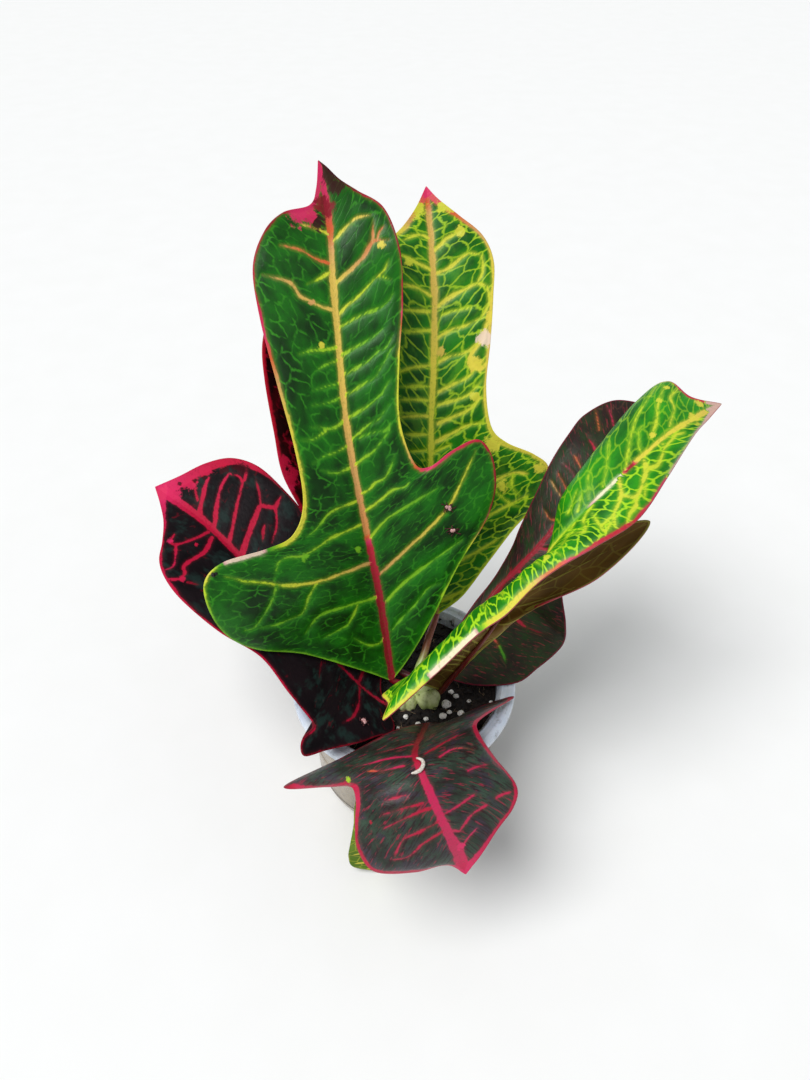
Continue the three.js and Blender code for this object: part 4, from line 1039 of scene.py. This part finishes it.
def blade_places(rails, out, part):
    """Places on a blade: out from -1, the left margin, to 1, the right one; part from base to tip."""
    at = ROW_INSET + part * (len(rails) - 1 - 2 * ROW_INSET)
    root, left_bend, left, right_bend, right = [catmull(rails[:, k], at) for k in range(5)]
    s = np.abs(out)[:, None]
    bend = np.where(out[:, None] < 0, left_bend, right_bend)
    edge = np.where(out[:, None] < 0, left, right)
    return (1 - s) ** 2 * root + 2 * s * (1 - s) * bend + s ** 2 * edge


def blade_line(rails, out, count):
    """Places along a blade from base to tip, at one reach."""
    parts = np.linspace(0, 1, count)
    return blade_places(rails, np.full(count, float(out)), parts)


def blade_faces(rails, out, part):
    """Which way a blade faces at places on it."""
    ahead = (blade_places(rails, out, np.minimum(part + 0.004, 1))
             - blade_places(rails, out, np.maximum(part - 0.004, 0)))
    aside = (blade_places(rails, np.minimum(out + 0.02, 1), part)
             - blade_places(rails, np.maximum(out - 0.02, -1), part))
    return unit(np.cross(aside, ahead))


# ---------------------------------------------------------------- a leaf's painting

NO_VEIN_MM = 30.0       # the gap to a vein before any is drawn, and the tone there
NO_VEIN_TONE = 0.75
LATERAL_REACH = 0.85    # a hidden vein's reach towards the margin
LATERAL_POINTS = 9
LATERAL_SWEEP = 0.03    # how far a hidden vein bends towards the tip, as a part of the length
LATERAL_TAPER = 0.4     # its last width as a share of its first
VEIN_POINT_MM = 0.9     # how much a vein narrows at its very end
NO_BLOTCH = -0.6        # the share of blotch far from any, its tone there, and the most it reaches
NO_BLOTCH_TONE = 0.6
FULL_BLOTCH = 1.4
EDGE_POINTS = 240


def draw_veins(places, sides, pixels, leaf, rails):
    """For each vertex, how far outside the nearest vein's edge it lies in mm, and that vein's tone there."""
    edge_gap = np.full(len(places), NO_VEIN_MM)
    tones = np.full(len(places), NO_VEIN_TONE)
    for side in (-1, 1):
        on_side = np.flatnonzero(sides * side >= 0)
        mine, mine_px = places[on_side], pixels[on_side]
        lines = []
        for first_mm, last_mm, first_tone, last_tone, *points in leaf.get("veins", {}).get(side, []):
            spots = np.array([mine[nearest(mine_px, point)] for point in points])
            lines.append((first_mm, last_mm, first_tone, last_tone, spots))
        for part, first_mm, tone in leaf.get("hidden_veins", {}).get(side, []):
            out = np.linspace(0, LATERAL_REACH, LATERAL_POINTS)
            spots = blade_places(rails, side * out, np.minimum(part + LATERAL_SWEEP * out ** 2, 1))
            lines.append((first_mm, first_mm * LATERAL_TAPER, tone, tone, spots))
        for first_mm, last_mm, first_tone, last_tone, spots in lines:
            if len(spots) > 2:
                spots = catmull(spots, np.linspace(0, len(spots) - 1, 4 * len(spots)))
            gap, where = nearest_line(mine, spots)
            gap -= (first_mm + (last_mm - first_mm) * where - VEIN_POINT_MM * where ** 9) / 2
            closer = gap < edge_gap[on_side]
            edge_gap[on_side] = np.where(closer, gap, edge_gap[on_side])
            tones[on_side] = np.where(closer, first_tone + (last_tone - first_tone) * where, tones[on_side])
    return edge_gap, tones


def draw_blotches(places, sides, pixels, blotches):
    """The share of blotch at each vertex and its tone."""
    share = np.full(len(places), NO_BLOTCH)
    tones = np.full(len(places), NO_BLOTCH_TONE)
    for side, point, size, tone in blotches:
        on_side = np.flatnonzero(sides * side >= 0)
        middle = places[on_side][nearest(pixels[on_side], point)]
        gap = np.linalg.norm(places - middle, axis=1) / size
        here = np.clip(1.6 - gap, NO_BLOTCH, FULL_BLOTCH)
        tones = np.where(here > share, tone, tones)
        share = np.maximum(share, here)
    return share, tones


def margin_gap(places, sides, rails, count):
    """How far each vertex lies from the margin on its side, in mm."""
    gap = np.empty(len(places))
    for side in (-1, 1):
        chosen = sides * side >= 0
        gap[chosen] = nearest_line(places[chosen], blade_line(rails, side, count)[::3])[0]
    return gap


def stop_values(line, stops, where):
    """Width and tone at parts of a line, from its stops of (point, width in mm, tone)."""
    run = run_along(line)
    line_pixels = photo_pixels(line)
    spots = [run[nearest(line_pixels, point)] / run[-1] for point, _, _ in stops]
    return [np.interp(where, spots, [stop[k] for stop in stops]) for k in (1, 2)]


def draw_edges(places, sides, leaf, rails, vein, tone):
    """Adds a leaf's margin bands to its veins: their width and tone go from stop to stop."""
    for side, stops in leaf.get("edges", {}).items():
        line = blade_line(rails, side, EDGE_POINTS)
        chosen = np.flatnonzero(sides * side >= 0)
        gap, where = nearest_line(places[chosen], line)
        widths, tones = stop_values(line, stops, where)
        gap -= widths
        closer = gap < vein[chosen]
        vein[chosen] = np.where(closer, gap, vein[chosen])
        tone[chosen] = np.where(closer, tones, tone[chosen])


# ---------------------------------------------------------------- a leaf's pieces

BLADE_MM = 0.5
QUILT_SPAN = 2.5         # mm from a vein over which a panel swells, and from the margin
QUILT_EDGE = 4
RIPPLE_SCALE = 0.035     # waves of the margin, per mm
PAPER_SHIFT = 70         # mm by which a leaf's seed shifts its maps, so that no two leaves look the same
RIBS_SHIFT = 50
STALK_MM = 1.7
RIB_TIP_MM = 0.35


def make_leaf(leaf, materials, rows, columns):
    """A blade: a grid laid on its rails, with quilting between its veins and a wavy margin."""
    name = leaf["node"]
    rails = folded_rails(leaf) if "rows" in leaf else flat_rails(leaf)

    def place(across, up):
        return blade_places(rails, across * 2 - 1, up)

    mesh, across, up, places = shaped_grid(name, 2 * columns, rows, place)
    out = across * 2 - 1
    pixels = photo_pixels(places)
    vein, tone = draw_veins(places, out, pixels, leaf, rails)
    midrib = blade_line(rails, 0, rows + 1)
    length = run_along(midrib)[-1]
    rib_gap, rib_part = nearest_line(places, midrib[::3])
    rib_mm, rib_tone = stop_values(midrib, leaf["midrib_mm"], rib_part)
    on_rib = rib_gap - rib_mm / 2 < vein
    vein = np.where(on_rib, rib_gap - rib_mm / 2, vein)
    tone = np.where(on_rib, rib_tone, tone)
    draw_edges(places, out, leaf, rails, vein, tone)
    edge = margin_gap(places, out, rails, rows + 1)
    share, blotch_tone = draw_blotches(places, out, pixels, leaf.get("blotches", []))
    # relief: panels between the veins swell, and the margin ripples
    face = blade_faces(rails, out, up)
    swell = 1 - np.exp(-np.clip(vein, 0, 9) / QUILT_SPAN)
    swell *= leaf["quilt_mm"] * np.clip(edge / QUILT_EDGE, 0, 1)
    spots = (places * RIPPLE_SCALE + leaf["seed"]).tolist()
    drift = np.array([noise.noise(spot) for spot in spots]) * leaf["ripple_mm"] * np.abs(out) ** 1.5
    drift *= np.clip(np.minimum(up, 1 - up) * 12, 0, 1)
    places = places + face * (swell + drift)[:, None]
    set_places(mesh, places)
    left_net, right_net = leaf["net"]
    net = np.where(out < 0, left_net, right_net) * (1 + np.exp(-edge / 5))
    for key, values in (("vein", vein), ("tone", tone), ("margin", edge), ("blotch", share),
                        ("blotch_tone", blotch_tone), ("net", net)):
        add_values(mesh, key, values)
    add_map(mesh, "paper", rib_gap * np.sign(out) + leaf["seed"] * PAPER_SHIFT, up * length)
    add_map(mesh, "ribs", up * length + leaf["seed"] * RIBS_SHIFT, rib_gap)
    piece = add_piece(name, mesh, name, materials)
    thick = piece.modifiers.new("thickness", "SOLIDIFY")
    thick.thickness = BLADE_MM * MM
    thick.offset = 0
    thick.material_offset = 1
    thick.material_offset_rim = 0
    return {"rails": rails, "places": places, "sides": out, "pixels": pixels, "face": face}


def on_leaf(made, side, pixel):
    """The place on a made leaf's half that a photo pixel shows, and the way the leaf faces there."""
    half = np.flatnonzero(made["sides"] * side >= 0)
    near = half[nearest(made["pixels"][half], pixel)]
    return made["places"][near], made["face"][near]


def make_stalk(leaf, rails, material):
    """The petiole and the raised midrib under the blade, as one tapering tube."""
    stalk = np.array(leaf["stalk"], float)
    stalk_mm = np.interp(np.linspace(0, 1, len(stalk)), [0, 0.4, 1], [STALK_MM * 1.35, STALK_MM, STALK_MM])
    along = np.linspace(0.0, 0.97, 22)
    rib, left, right = [blade_places(rails, along * 0 + out, along) for out in (0, -0.06, 0.06)]
    face = unit(np.cross(right - left, np.gradient(rib, axis=0)))
    rib_mm = np.interp(along, [0, 0.3, 1], [STALK_MM * 0.8, STALK_MM * 0.55, RIB_TIP_MM])
    rib = rib - face * (rib_mm * 0.75)[:, None]
    name = leaf["node"].replace("leaf", "stalk")
    mesh = tube(name, np.vstack([stalk, rib]), np.r_[stalk_mm, rib_mm], 12)
    add_piece(name, mesh, leaf["node"], [material])


# ---------------------------------------------------------------- the tub

RIM_RADIUS = 50
TUB_HEIGHT = 60
MOUTH_RADIUS = 43.5
NECK_RADIUS = 43
FOOT_RADIUS = 41.5
HOLLOW_RADIUS = 30       # the foot's middle is raised a little inside a ring that the tub stands on
HOLLOW_RISE = 0.8
BAND_RADIUS = 42.6       # a faint band round the body
BAND_LOW = 24
BAND_HIGH = 28
WALL = 1.2
FLOOR = 1.6
CORNER_ROUND = 0.35
TUB_STEPS = 160
DRAIN_HOLES = 6
DRAIN_RADIUS = 3
DRAIN_CIRCLE = 27
DRILL_LENGTH = 6


def make_tub():
    """The nursery tub: its outside from the foot to the rolled rim, and back down inside. Six drain holes."""
    rim, neck, mouth, foot, top = RIM_RADIUS, NECK_RADIUS, MOUTH_RADIUS, FOOT_RADIUS, TUB_HEIGHT
    profile = [
        (0, HOLLOW_RISE), (HOLLOW_RADIUS, HOLLOW_RISE), (HOLLOW_RADIUS + 1.5, 0), (foot - 3.5, 0),
        (foot - 1, 1.2), (foot, 5), (BAND_RADIUS - 0.5, BAND_LOW), (BAND_RADIUS, BAND_LOW + 0.4),
        (BAND_RADIUS, BAND_HIGH - 0.4), (BAND_RADIUS - 0.3, BAND_HIGH), (neck, top - 3),
        (neck + 1, top - 1.6), (rim - 2.5, top - 1.4), (rim - 1.1, top - 2.2), (rim - 0.9, top - 4),
        (rim, top - 4), (rim, top - 1.5), (rim - 0.6, top - 0.6), (rim - 1.6, top - 0.1), (rim - 2.8, top),
        (rim - 3.8, top - 0.5), (mouth + 1.2, top - 0.7), (mouth + 0.5, top - 0.2), (mouth, top - 0.3),
        (neck - WALL, top - 3), (foot - WALL, 5), (foot - 5, FLOOR), (0, FLOOR),
    ]
    tub = add_piece("tub", spun("tub", profile, TUB_STEPS, CORNER_ROUND), "tub", [plastic_finish()])
    drill = bmesh.new()
    for k in range(DRAIN_HOLES):
        turn = (k + 0.5) * FULL_TURN / DRAIN_HOLES
        place = Vector((DRAIN_CIRCLE * math.cos(turn), DRAIN_CIRCLE * math.sin(turn), 0)) * MM
        made = bmesh.ops.create_cone(drill, cap_ends=True, segments=24, radius1=DRAIN_RADIUS * MM,
                                     radius2=DRAIN_RADIUS * MM, depth=DRILL_LENGTH * MM)
        bmesh.ops.translate(drill, verts=made["verts"], vec=place)
    cutter = bpy.data.objects.new("drain_drill", mesh_from("drain_drill", drill))
    scene.collection.objects.link(cutter)
    cut = tub.modifiers.new("drain_holes", "BOOLEAN")
    cut.object = cutter
    cut.solver = "EXACT"
    bpy.context.view_layer.update()
    tub_now = tub.evaluated_get(bpy.context.evaluated_depsgraph_get())
    drilled = bpy.data.meshes.new_from_object(tub_now)
    tub.modifiers.clear()
    tub.data = drilled
    bpy.data.objects.remove(cutter)
    drilled.shade_smooth()
    edges = tub.modifiers.new("even_light", "WEIGHTED_NORMAL")
    edges.keep_sharp = True


# ---------------------------------------------------------------- the soil and what lies in it

SOIL_TOP = 53
SOIL_RISE = 1.2
SOIL_GAP = 0.25          # between the soil and the tub's wall
SOIL_FOOT = 6            # the heap's underside, in mm above the table
FOOT_ROWS = 0.06         # the part of the heap's rows that runs over its underside
SIDE_ROWS = 0.12         # the part that has been used at the top of its side
CRUMBS = 900
CRUMB_MM = (0.5, 1.5)    # smallest and largest radius
CRUMB_REACH = 40.5
FIBRES = 70
FIBRE_REACH = 36
FIBRE_LIMIT = 40
# Perlite grains lying on the soil: across, down, radius in mm.
PERLITE = [
    (451, 692, 1.2), (456, 696, 1.2), (446, 704, 2.2), (443, 716, 1.6), (449.5, 712, 1.1), (461, 713, 1.5),
    (469, 701, 0.9), (491, 702, 0.8), (426, 719, 1.1), (418, 724, 1.2), (406, 717, 1.2), (398, 728, 0.8),
]


STEM_PROFILE = [(0, 0), (4.4, 0), (5.5, 10), (5.8, 16), (4.6, 21), (2, 24), (0, 24.6)]
STEM_PLACE = (9, -5, 40)
# The stem's two knobs: photo pixel across and down, height in mm, and half sizes in mm.
KNOBS = [((428.5, 699, 56), (5.3, 5.2, 5.5)), ((407, 702, 55), (4.8, 4.5, 4.6))]
STEM_VOXEL = 0.35


def soil_height(x, y):
    """The soil's surface in mm: a slight mound with lumps."""
    radius = math.hypot(x, y)
    mound = SOIL_TOP + SOIL_RISE * math.cos(min(radius / NECK_RADIUS, 1) * math.pi / 2)
    lumps = noise.noise((x * 0.12, y * 0.12, 3)) * 0.8 + noise.noise((x * 0.4, y * 0.4, 7)) * 0.5
    return mound + lumps + noise.noise((x * 1.1, y * 1.1, 1)) * 0.28


def make_soil():
    """The heap as one wrapped grid, from the middle of its underside up its side to the middle of its top."""
    edge = NECK_RADIUS - WALL - SOIL_GAP

    def place(across, up):
        turn = across * FULL_TURN
        top = np.clip((up - SIDE_ROWS) / (1 - SIDE_ROWS), 0, 1)
        radius = np.where(up < FOOT_ROWS, edge * 0.9 * up / FOOT_ROWS, edge * (1 - top))
        x, y = radius * np.cos(turn), radius * np.sin(turn)
        surface = np.array([soil_height(a, b) for a, b in zip(x, y)])
        risen = np.clip((up - FOOT_ROWS) / (SIDE_ROWS - FOOT_ROWS), 0, 1)
        return np.stack([x, y, SOIL_FOOT + (surface - SOIL_FOOT) * risen], -1)

    mesh = shaped_grid("soil", 200, 150, place)[0]
    add_piece("soil", welded(mesh), "soil", [soil_finish("potting_soil")])


def somewhere(draw, reach):
    """A random place in a circle."""
    radius = reach * math.sqrt(draw.random())
    turn = draw.uniform(0, FULL_TURN)
    return radius * math.cos(turn), radius * math.sin(turn)


def make_crumbs():
    """Loose crumbs of peat and bark over the soil."""
    draw = random.Random(4)
    body = bmesh.new()
    for _ in range(CRUMBS):
        size = draw.uniform(*CRUMB_MM) * draw.uniform(0.6, 1)
        x, y = somewhere(draw, CRUMB_REACH)
        made = bmesh.ops.create_icosphere(body, subdivisions=1, radius=size * MM)
        for vert in made["verts"]:
            vert.co *= draw.uniform(0.65, 1.25)
            vert.co.z *= 0.7
        way = Vector((draw.random(), draw.random(), draw.random() + 0.1))
        bmesh.ops.rotate(body, verts=made["verts"], cent=(0, 0, 0),
                         matrix=way.to_track_quat("Z", "Y").to_matrix())
        height = soil_height(x, y) + size * 0.35
        bmesh.ops.translate(body, verts=made["verts"], vec=Vector((x, y, height)) * MM)
    bmesh.ops.recalc_face_normals(body, faces=body.faces)
    mesh = mesh_from("soil_crumbs", body)
    add_piece("soil_crumbs", mesh, "soil", [soil_finish("soil_crumb")])


def make_fibres():
    """Hair roots and fibres lying over the soil."""
    draw = random.Random(11)
    strands = []
    for k in range(FIBRES):
        x, y = somewhere(draw, FIBRE_REACH)
        heading = draw.uniform(0, FULL_TURN)
        line = []
        for _ in range(5):
            line.append((x, y, soil_height(x, y) + draw.uniform(0.2, 1.1)))
            heading += draw.uniform(-0.7, 0.7)
            step = draw.uniform(0.9, 2.2)
            ahead = (x + step * math.cos(heading), y + step * math.sin(heading))
            x, y = ahead if math.hypot(*ahead) < FIBRE_LIMIT else (x * 0.95, y * 0.95)
        strands.append(tube(f"strand_{k}", line, [0.09, 0.13, 0.12, 0.1, 0.07], 5, 3))
    finish = plain_finish("dry_fibre", "4a3626", "a58c6c", 600, 0.8)
    add_piece("soil_fibres", joined("soil_fibres", strands), "soil", [finish])


def make_stem():
    """The short woody stem with its two green knobs at soil level."""
    trunk = spun("trunk", STEM_PROFILE, 40)
    trunk.transform(Matrix.Translation(Vector(STEM_PLACE) * MM))
    body = bmesh.new()
    body.from_mesh(trunk)
    for point, size in KNOBS:
        made = bmesh.ops.create_icosphere(body, subdivisions=4, radius=MM)
        for vert in made["verts"]:
            turn = math.atan2(vert.co.y, vert.co.x)
            cleft = 1 - 0.16 * math.exp(-((turn + 1.7) / 0.16) ** 2)
            cleft *= 1 + 0.06 * math.sin(turn * 5) + 0.05 * noise.noise(vert.co * 1600)
            vert.co = Vector([c * s * cleft for c, s in zip(vert.co, size)])
        bmesh.ops.translate(body, verts=made["verts"], vec=Vector(seen(*point)) * MM)
    stem = add_piece("stem", mesh_from("stem", body), "stem", [bark_finish()])
    fuse = stem.modifiers.new("fuse", "REMESH")
    fuse.mode = "VOXEL"
    fuse.voxel_size = STEM_VOXEL * MM
    fuse.use_smooth_shade = True
    even = stem.modifiers.new("even", "SMOOTH")
    even.factor = 0.5
    even.iterations = 4


def make_perlite():
    finish = perlite_finish()
    draw = random.Random(21)
    for k, (across, down, size) in enumerate(PERLITE, 1):
        rough = seen(across, down, SOIL_TOP + size)
        spot = seen(across, down, soil_height(rough[0], rough[1]) + size * 0.75)
        shift = draw.uniform(0, 50)
        body = bmesh.new()
        bmesh.ops.create_icosphere(body, subdivisions=4, radius=1)
        for vert in body.verts:
            lump = 1 + 0.3 * noise.noise(vert.co * 1.4 + Vector((shift, 0, 0)))
            lump += 0.12 * noise.noise(vert.co * 4 + Vector((0, shift, 0)))
            vert.co = Vector((vert.co.x, vert.co.y * 0.85, vert.co.z * 0.8)) * lump * size * MM
        bmesh.ops.translate(body, verts=body.verts, vec=Vector(spot) * MM)
        name = f"perlite_{k}"
        add_piece(name, mesh_from(name, body), name, [finish])


# ---------------------------------------------------------------- small things lying on the leaves

# Dried flowers: the leaf that each lies on, the leaf's side, the photo pixel and the strands' reach in mm.
FLOWERS = [
    ("leaf_front_green", 1, (449, 507), 3.6), ("leaf_front_green", 1, (453, 529), 3.6),
    ("leaf_left_dark", -1, (363, 723), 2.8),
]
STRANDS = 9
STRAND_MM = [0.34, 0.3, 0.22, 0.3]
BEADS = 3
# The curl's photo pixels, its radii in mm there, and the pixel across at which it passes over the midrib.
CURL_PIXELS = [(417, 760), (421.5, 762.5), (422.7, 767), (420, 771.5), (415.5, 774), (411, 774.8)]
CURL_MM = [0.35, 0.6, 0.7, 0.75, 0.7, 0.3]
CURL_MIDRIB = 418
SPECK_PIXEL = (214, 575)
SPECK_GRAINS = [(0, 0), (0.8, 0.5), (-0.5, 0.7), (0.2, -0.8)]


def make_dried_flower(name, made, side, pixel, reach_mm, seed):
    """A fallen, dried flower: a pale middle with crumpled maroon strands."""
    middle, face = on_leaf(made, side, pixel)
    draw = random.Random(seed)
    level = unit(np.cross(face, (0.2, 1, 0.1)))
    other = np.cross(face, level)
    parts = []
    for k in range(STRANDS):
        turn = k * 0.7 + draw.uniform(-0.3, 0.3)
        reach = reach_mm * draw.uniform(0.6, 1.1)
        line = [middle + face * 0.9]
        for step in (0.35, 0.7, 1.0):
            turn += draw.uniform(-0.3, 0.3)
            way = level * math.cos(turn) + other * math.sin(turn) * 0.75
            line.append(middle + way * reach * step + face * draw.uniform(0.55, 1.3))
        parts.append(tube(f"{name}_strand_{k}", line, STRAND_MM, 7, 4))
    strand_faces = sum(len(part.polygons) for part in parts)
    for k in range(BEADS):
        body = bmesh.new()
        bmesh.ops.create_icosphere(body, subdivisions=3, radius=MM)
        for vert in body.verts:
            vert.co *= 0.75 + 0.3 * noise.noise(vert.co * 1500 + Vector((k, seed, 0)))
        shift = level * draw.uniform(-0.8, 0.8) + other * draw.uniform(-0.5, 0.5) + face * 1.15
        bmesh.ops.translate(body, verts=body.verts, vec=Vector(middle + shift) * MM)
        parts.append(mesh_from(f"{name}_bead_{k}", body))
    mesh = joined(name, parts)
    for bead_face in mesh.polygons[strand_faces:]:
        bead_face.material_index = 1
    strand = plain_finish(f"{name}_strand", "1c0508", "5a1c22", 900, 0.8)
    bead = plain_finish(f"{name}_middle", "a05a5e", "ecc0bc", 900, 0.7)
    add_piece(name, mesh, name, [strand, bead])


def make_curl(made):
    """The curled white bit of dry tissue on the front crimson leaf, lying across its midrib."""
    line = []
    for k, pixel in enumerate(CURL_PIXELS):
        place, face = on_leaf(made, 1 if pixel[0] < CURL_MIDRIB else -1, pixel)
        line.append(place + face * (1.0 + 0.4 * math.sin(k)))
    mesh = tube("white_curl", line, CURL_MM, 12, 8)
    finish = plain_finish("dry_tissue", "b9a898", "f3eee6", 900, 0.6)
    add_piece("white_curl", mesh, "white_curl", [finish])


def make_speck(made):
    """A dark crumb of four grains on the front green leaf."""
    place, face = on_leaf(made, -1, SPECK_PIXEL)
    body = bmesh.new()
    for k, shift in enumerate(SPECK_GRAINS):
        ball = bmesh.ops.create_icosphere(body, subdivisions=3, radius=(0.9 - 0.15 * k) * MM)
        for vert in ball["verts"]:
            vert.co *= 0.9 + 0.35 * noise.noise(vert.co * 1800 + Vector((k, 0, 0)))
        spot = place + face * 0.7 + np.array([*shift, 0])
        bmesh.ops.translate(body, verts=ball["verts"], vec=Vector(spot) * MM)
    finish = plain_finish("speck_black", "060505", "1d1714", 900, 0.6)
    add_piece("dark_speck", mesh_from("dark_speck", body), "dark_speck", [finish])


# ---------------------------------------------------------------- building the leaves

# A blade's rows and columns to each side, where they aren't those of LEAF_GRID.
LEAF_GRID = (250, 52)
LARGE_LEAF_GRIDS = {"leaf_front_green": (330, 71), "leaf_back_green": (300, 60)}

# A leaf, the name that its finishes start with, its upper side, the three colours of its underside and the
# colours along its stalk.
LEAVES = [
    (FRONT_GREEN, "leaf_green",
     dict(deep="083004", fresh="196c0e", glow="1f7a10", net=("338818", 0.5, 3.4), margin=("5f8a24", 0.6),
          halo=0.16),
     ("27401c", "4c5f2c", "8a8f4a"),
     [(0.0, "9fb068"), (0.05, "a5b06a"), (0.065, "7a0a1c"), (0.5, "6b0a18"), (1.0, "b87a3c")]),
    (BACK_GREEN, "leaf_lime",
     dict(deep="0c4a04", fresh="1f7d0a", glow="3a9410", net=("a4cc22", 0.85, 4.2), margin=("9aa42c", 0.8),
          clouds=("6fb01a", 0.25), halo=0.32),
     ("4a6a1c", "7d9130", "c8c05a"),
     [(0.0, "98aa60"), (0.06, "9fb068"), (0.1, "a06048"), (0.2, "a03a38"), (0.3, "a8b040"), (1.0, "d8cf80")]),
    (LEFT_DARK, "leaf_purple",
     dict(deep="0d090c", fresh="1b1216", glow="1c0c12", net=("5a0a18", 0.15, 4), margin=("3a0a14", 0.5),
          clouds=("1f322e", 0.75), halo=0.08, gloss=0.5, shine=0.07, vein_share=0.92),
     ("2a0d14", "4a1520", "8f2030"),
     [(0.0, "5a1018"), (0.1, "7a1020"), (1.0, "a01030")]),
    (BACK_LEFT_DARK, "leaf_maroon",
     dict(deep="140304", fresh="240507", glow="5a0710", net=("8f0a22", 0.4, 4), margin=("b00f26", 1.6),
          clouds=("3a060a", 1.0), halo=0.15, shine=0.1),
     ("2a0a0e", "4a1018", "8f2030"),
     [(0.0, "5a1018"), (1.0, "8a1020")]),
    (RIGHT_DARK, "leaf_grey_green",
     dict(deep="221814", fresh="26381c", glow="22300f", net=("4a3024", 0.3, 4), margin=("6a1428", 0.7),
          clouds=("1a3a12", 0.7), streaks=("34181a", 0.6, "7a2a30", -20), halo=0.1, shine=0.2,
          vein_share=0.66),
     ("241014", "3a1a1c", "8f3030"),
     [(0.0, "8a9a5a"), (0.06, "7a2a28"), (1.0, "8a1424")]),
    (FRONT_CRIMSON, "leaf_crimson",
     dict(deep="262c24", fresh="3c5242", glow="3c3c34", net=("6a3a3c", 0.15, 3), margin=("8a1a34", 0.6),
          clouds=("3c3040", 0.8), streaks=("2c1a1e", 0.85, "9a2840", -28), halo=0.1, shine=0.22,
          vein_share=0.85),
     ("3a1a20", "5a2630", "b04050"),
     [(0.0, "4a0a12"), (0.12, "6a0c18"), (0.4, "b01838"), (1.0, "d02a50")]),
    (RIGHT_FOLDED, "leaf_lime_folded",
     dict(deep="0e5c0a", fresh="2c9a12", glow="3fa812", net=("a8dc1e", 0.95, 3.4), margin=("8fae2c", 0.5),
          outline=("a84450", 0.35)),
     ("5e4416", "846428", "a8a044"),
     [(0.0, "8a9a5a"), (0.1, "6a1a14"), (0.3, "7a2218"), (0.6, "6a3a1c"), (1.0, "c0b070")]),
    (LOW_FRONT, "leaf_low",
     dict(deep="3f6a0a", fresh="a4cc22", glow="9ab82a", net=("e0d040", 0.9, 3.5), margin=("2a1a10", 0.8),
          clouds=("5a4a1c", 0.4)),
     ("4f6e12", "86a81e", "d8ca48"),
     [(0.0, "7a7a40"), (1.0, "8a8040")]),
]


def make_leaves():
    """Every leaf with its stalk; returns what each made, by name."""
    made = {}
    for leaf, slot, upper, lower, stalk in LEAVES:
        name = leaf["node"]
        rows, columns = LARGE_LEAF_GRIDS.get(name, LEAF_GRID)
        finishes = [leaf_finish(f"{slot}_upper", **upper), underside_finish(f"{slot}_under", *lower)]
        made[name] = make_leaf(leaf, finishes, rows, columns)
        make_stalk(leaf, made[name]["rails"], stalk_finish(f"{slot}_stalk", stalk))
    return made


# ---------------------------------------------------------------- floor and light

FLOOR_REACH = 3          # in metres, as is the drop that keeps the floor clear of the tub's foot
FLOOR_DROP = 0.0004
SUN_FROM = (-0.45, -0.25, 1.0)
SUN_STRENGTH = 2.4
SUN_SPREAD = math.radians(40)
SKY_COLOUR = (0.94, 0.97, 1, 1)
SKY_STRENGTH = 0.42


def make_floor():
    body = bmesh.new()
    bmesh.ops.create_grid(body, x_segments=4, y_segments=4, size=FLOOR_REACH)
    mesh = mesh_from("floor", body)
    floor = bpy.data.objects.new("floor", mesh)
    scene.collection.objects.link(floor)
    f = Finish("floor_card", 0.7)
    f.colour(f.mix(f.noise(f.place(), 30, 2), "f4f4f2", "f8f8f7"))
    mesh.materials.append(f.material)
    floor.location.z = -FLOOR_DROP


def make_sun():
    """Soft light from a far place towards the plant."""
    light = bpy.data.lights.new("daylight", "SUN")
    light.energy = SUN_STRENGTH
    light.angle = SUN_SPREAD
    lamp = bpy.data.objects.new("daylight", light)
    lamp.location = SUN_FROM
    lamp.rotation_euler = Vector(SUN_FROM).to_track_quat("Z", "Y").to_euler()
    scene.collection.objects.link(lamp)


def make_world():
    world = bpy.data.worlds.new("studio")
    world.use_nodes = True
    sky = world.node_tree.nodes["Background"]
    sky.inputs["Color"].default_value = SKY_COLOUR
    sky.inputs["Strength"].default_value = SKY_STRENGTH
    scene.world = world


make_camera()
leaves = make_leaves()
make_tub()
make_soil()
make_crumbs()
make_fibres()
make_stem()
make_perlite()
for number, (leaf_name, *flower) in enumerate(FLOWERS, 1):
    make_dried_flower(f"dried_flower_{number}", leaves[leaf_name], *flower, number)
make_curl(leaves["leaf_front_crimson"])
make_speck(leaves["leaf_front_green"])
make_floor()
make_sun()
make_world()
scene.view_settings.view_transform = "Standard"
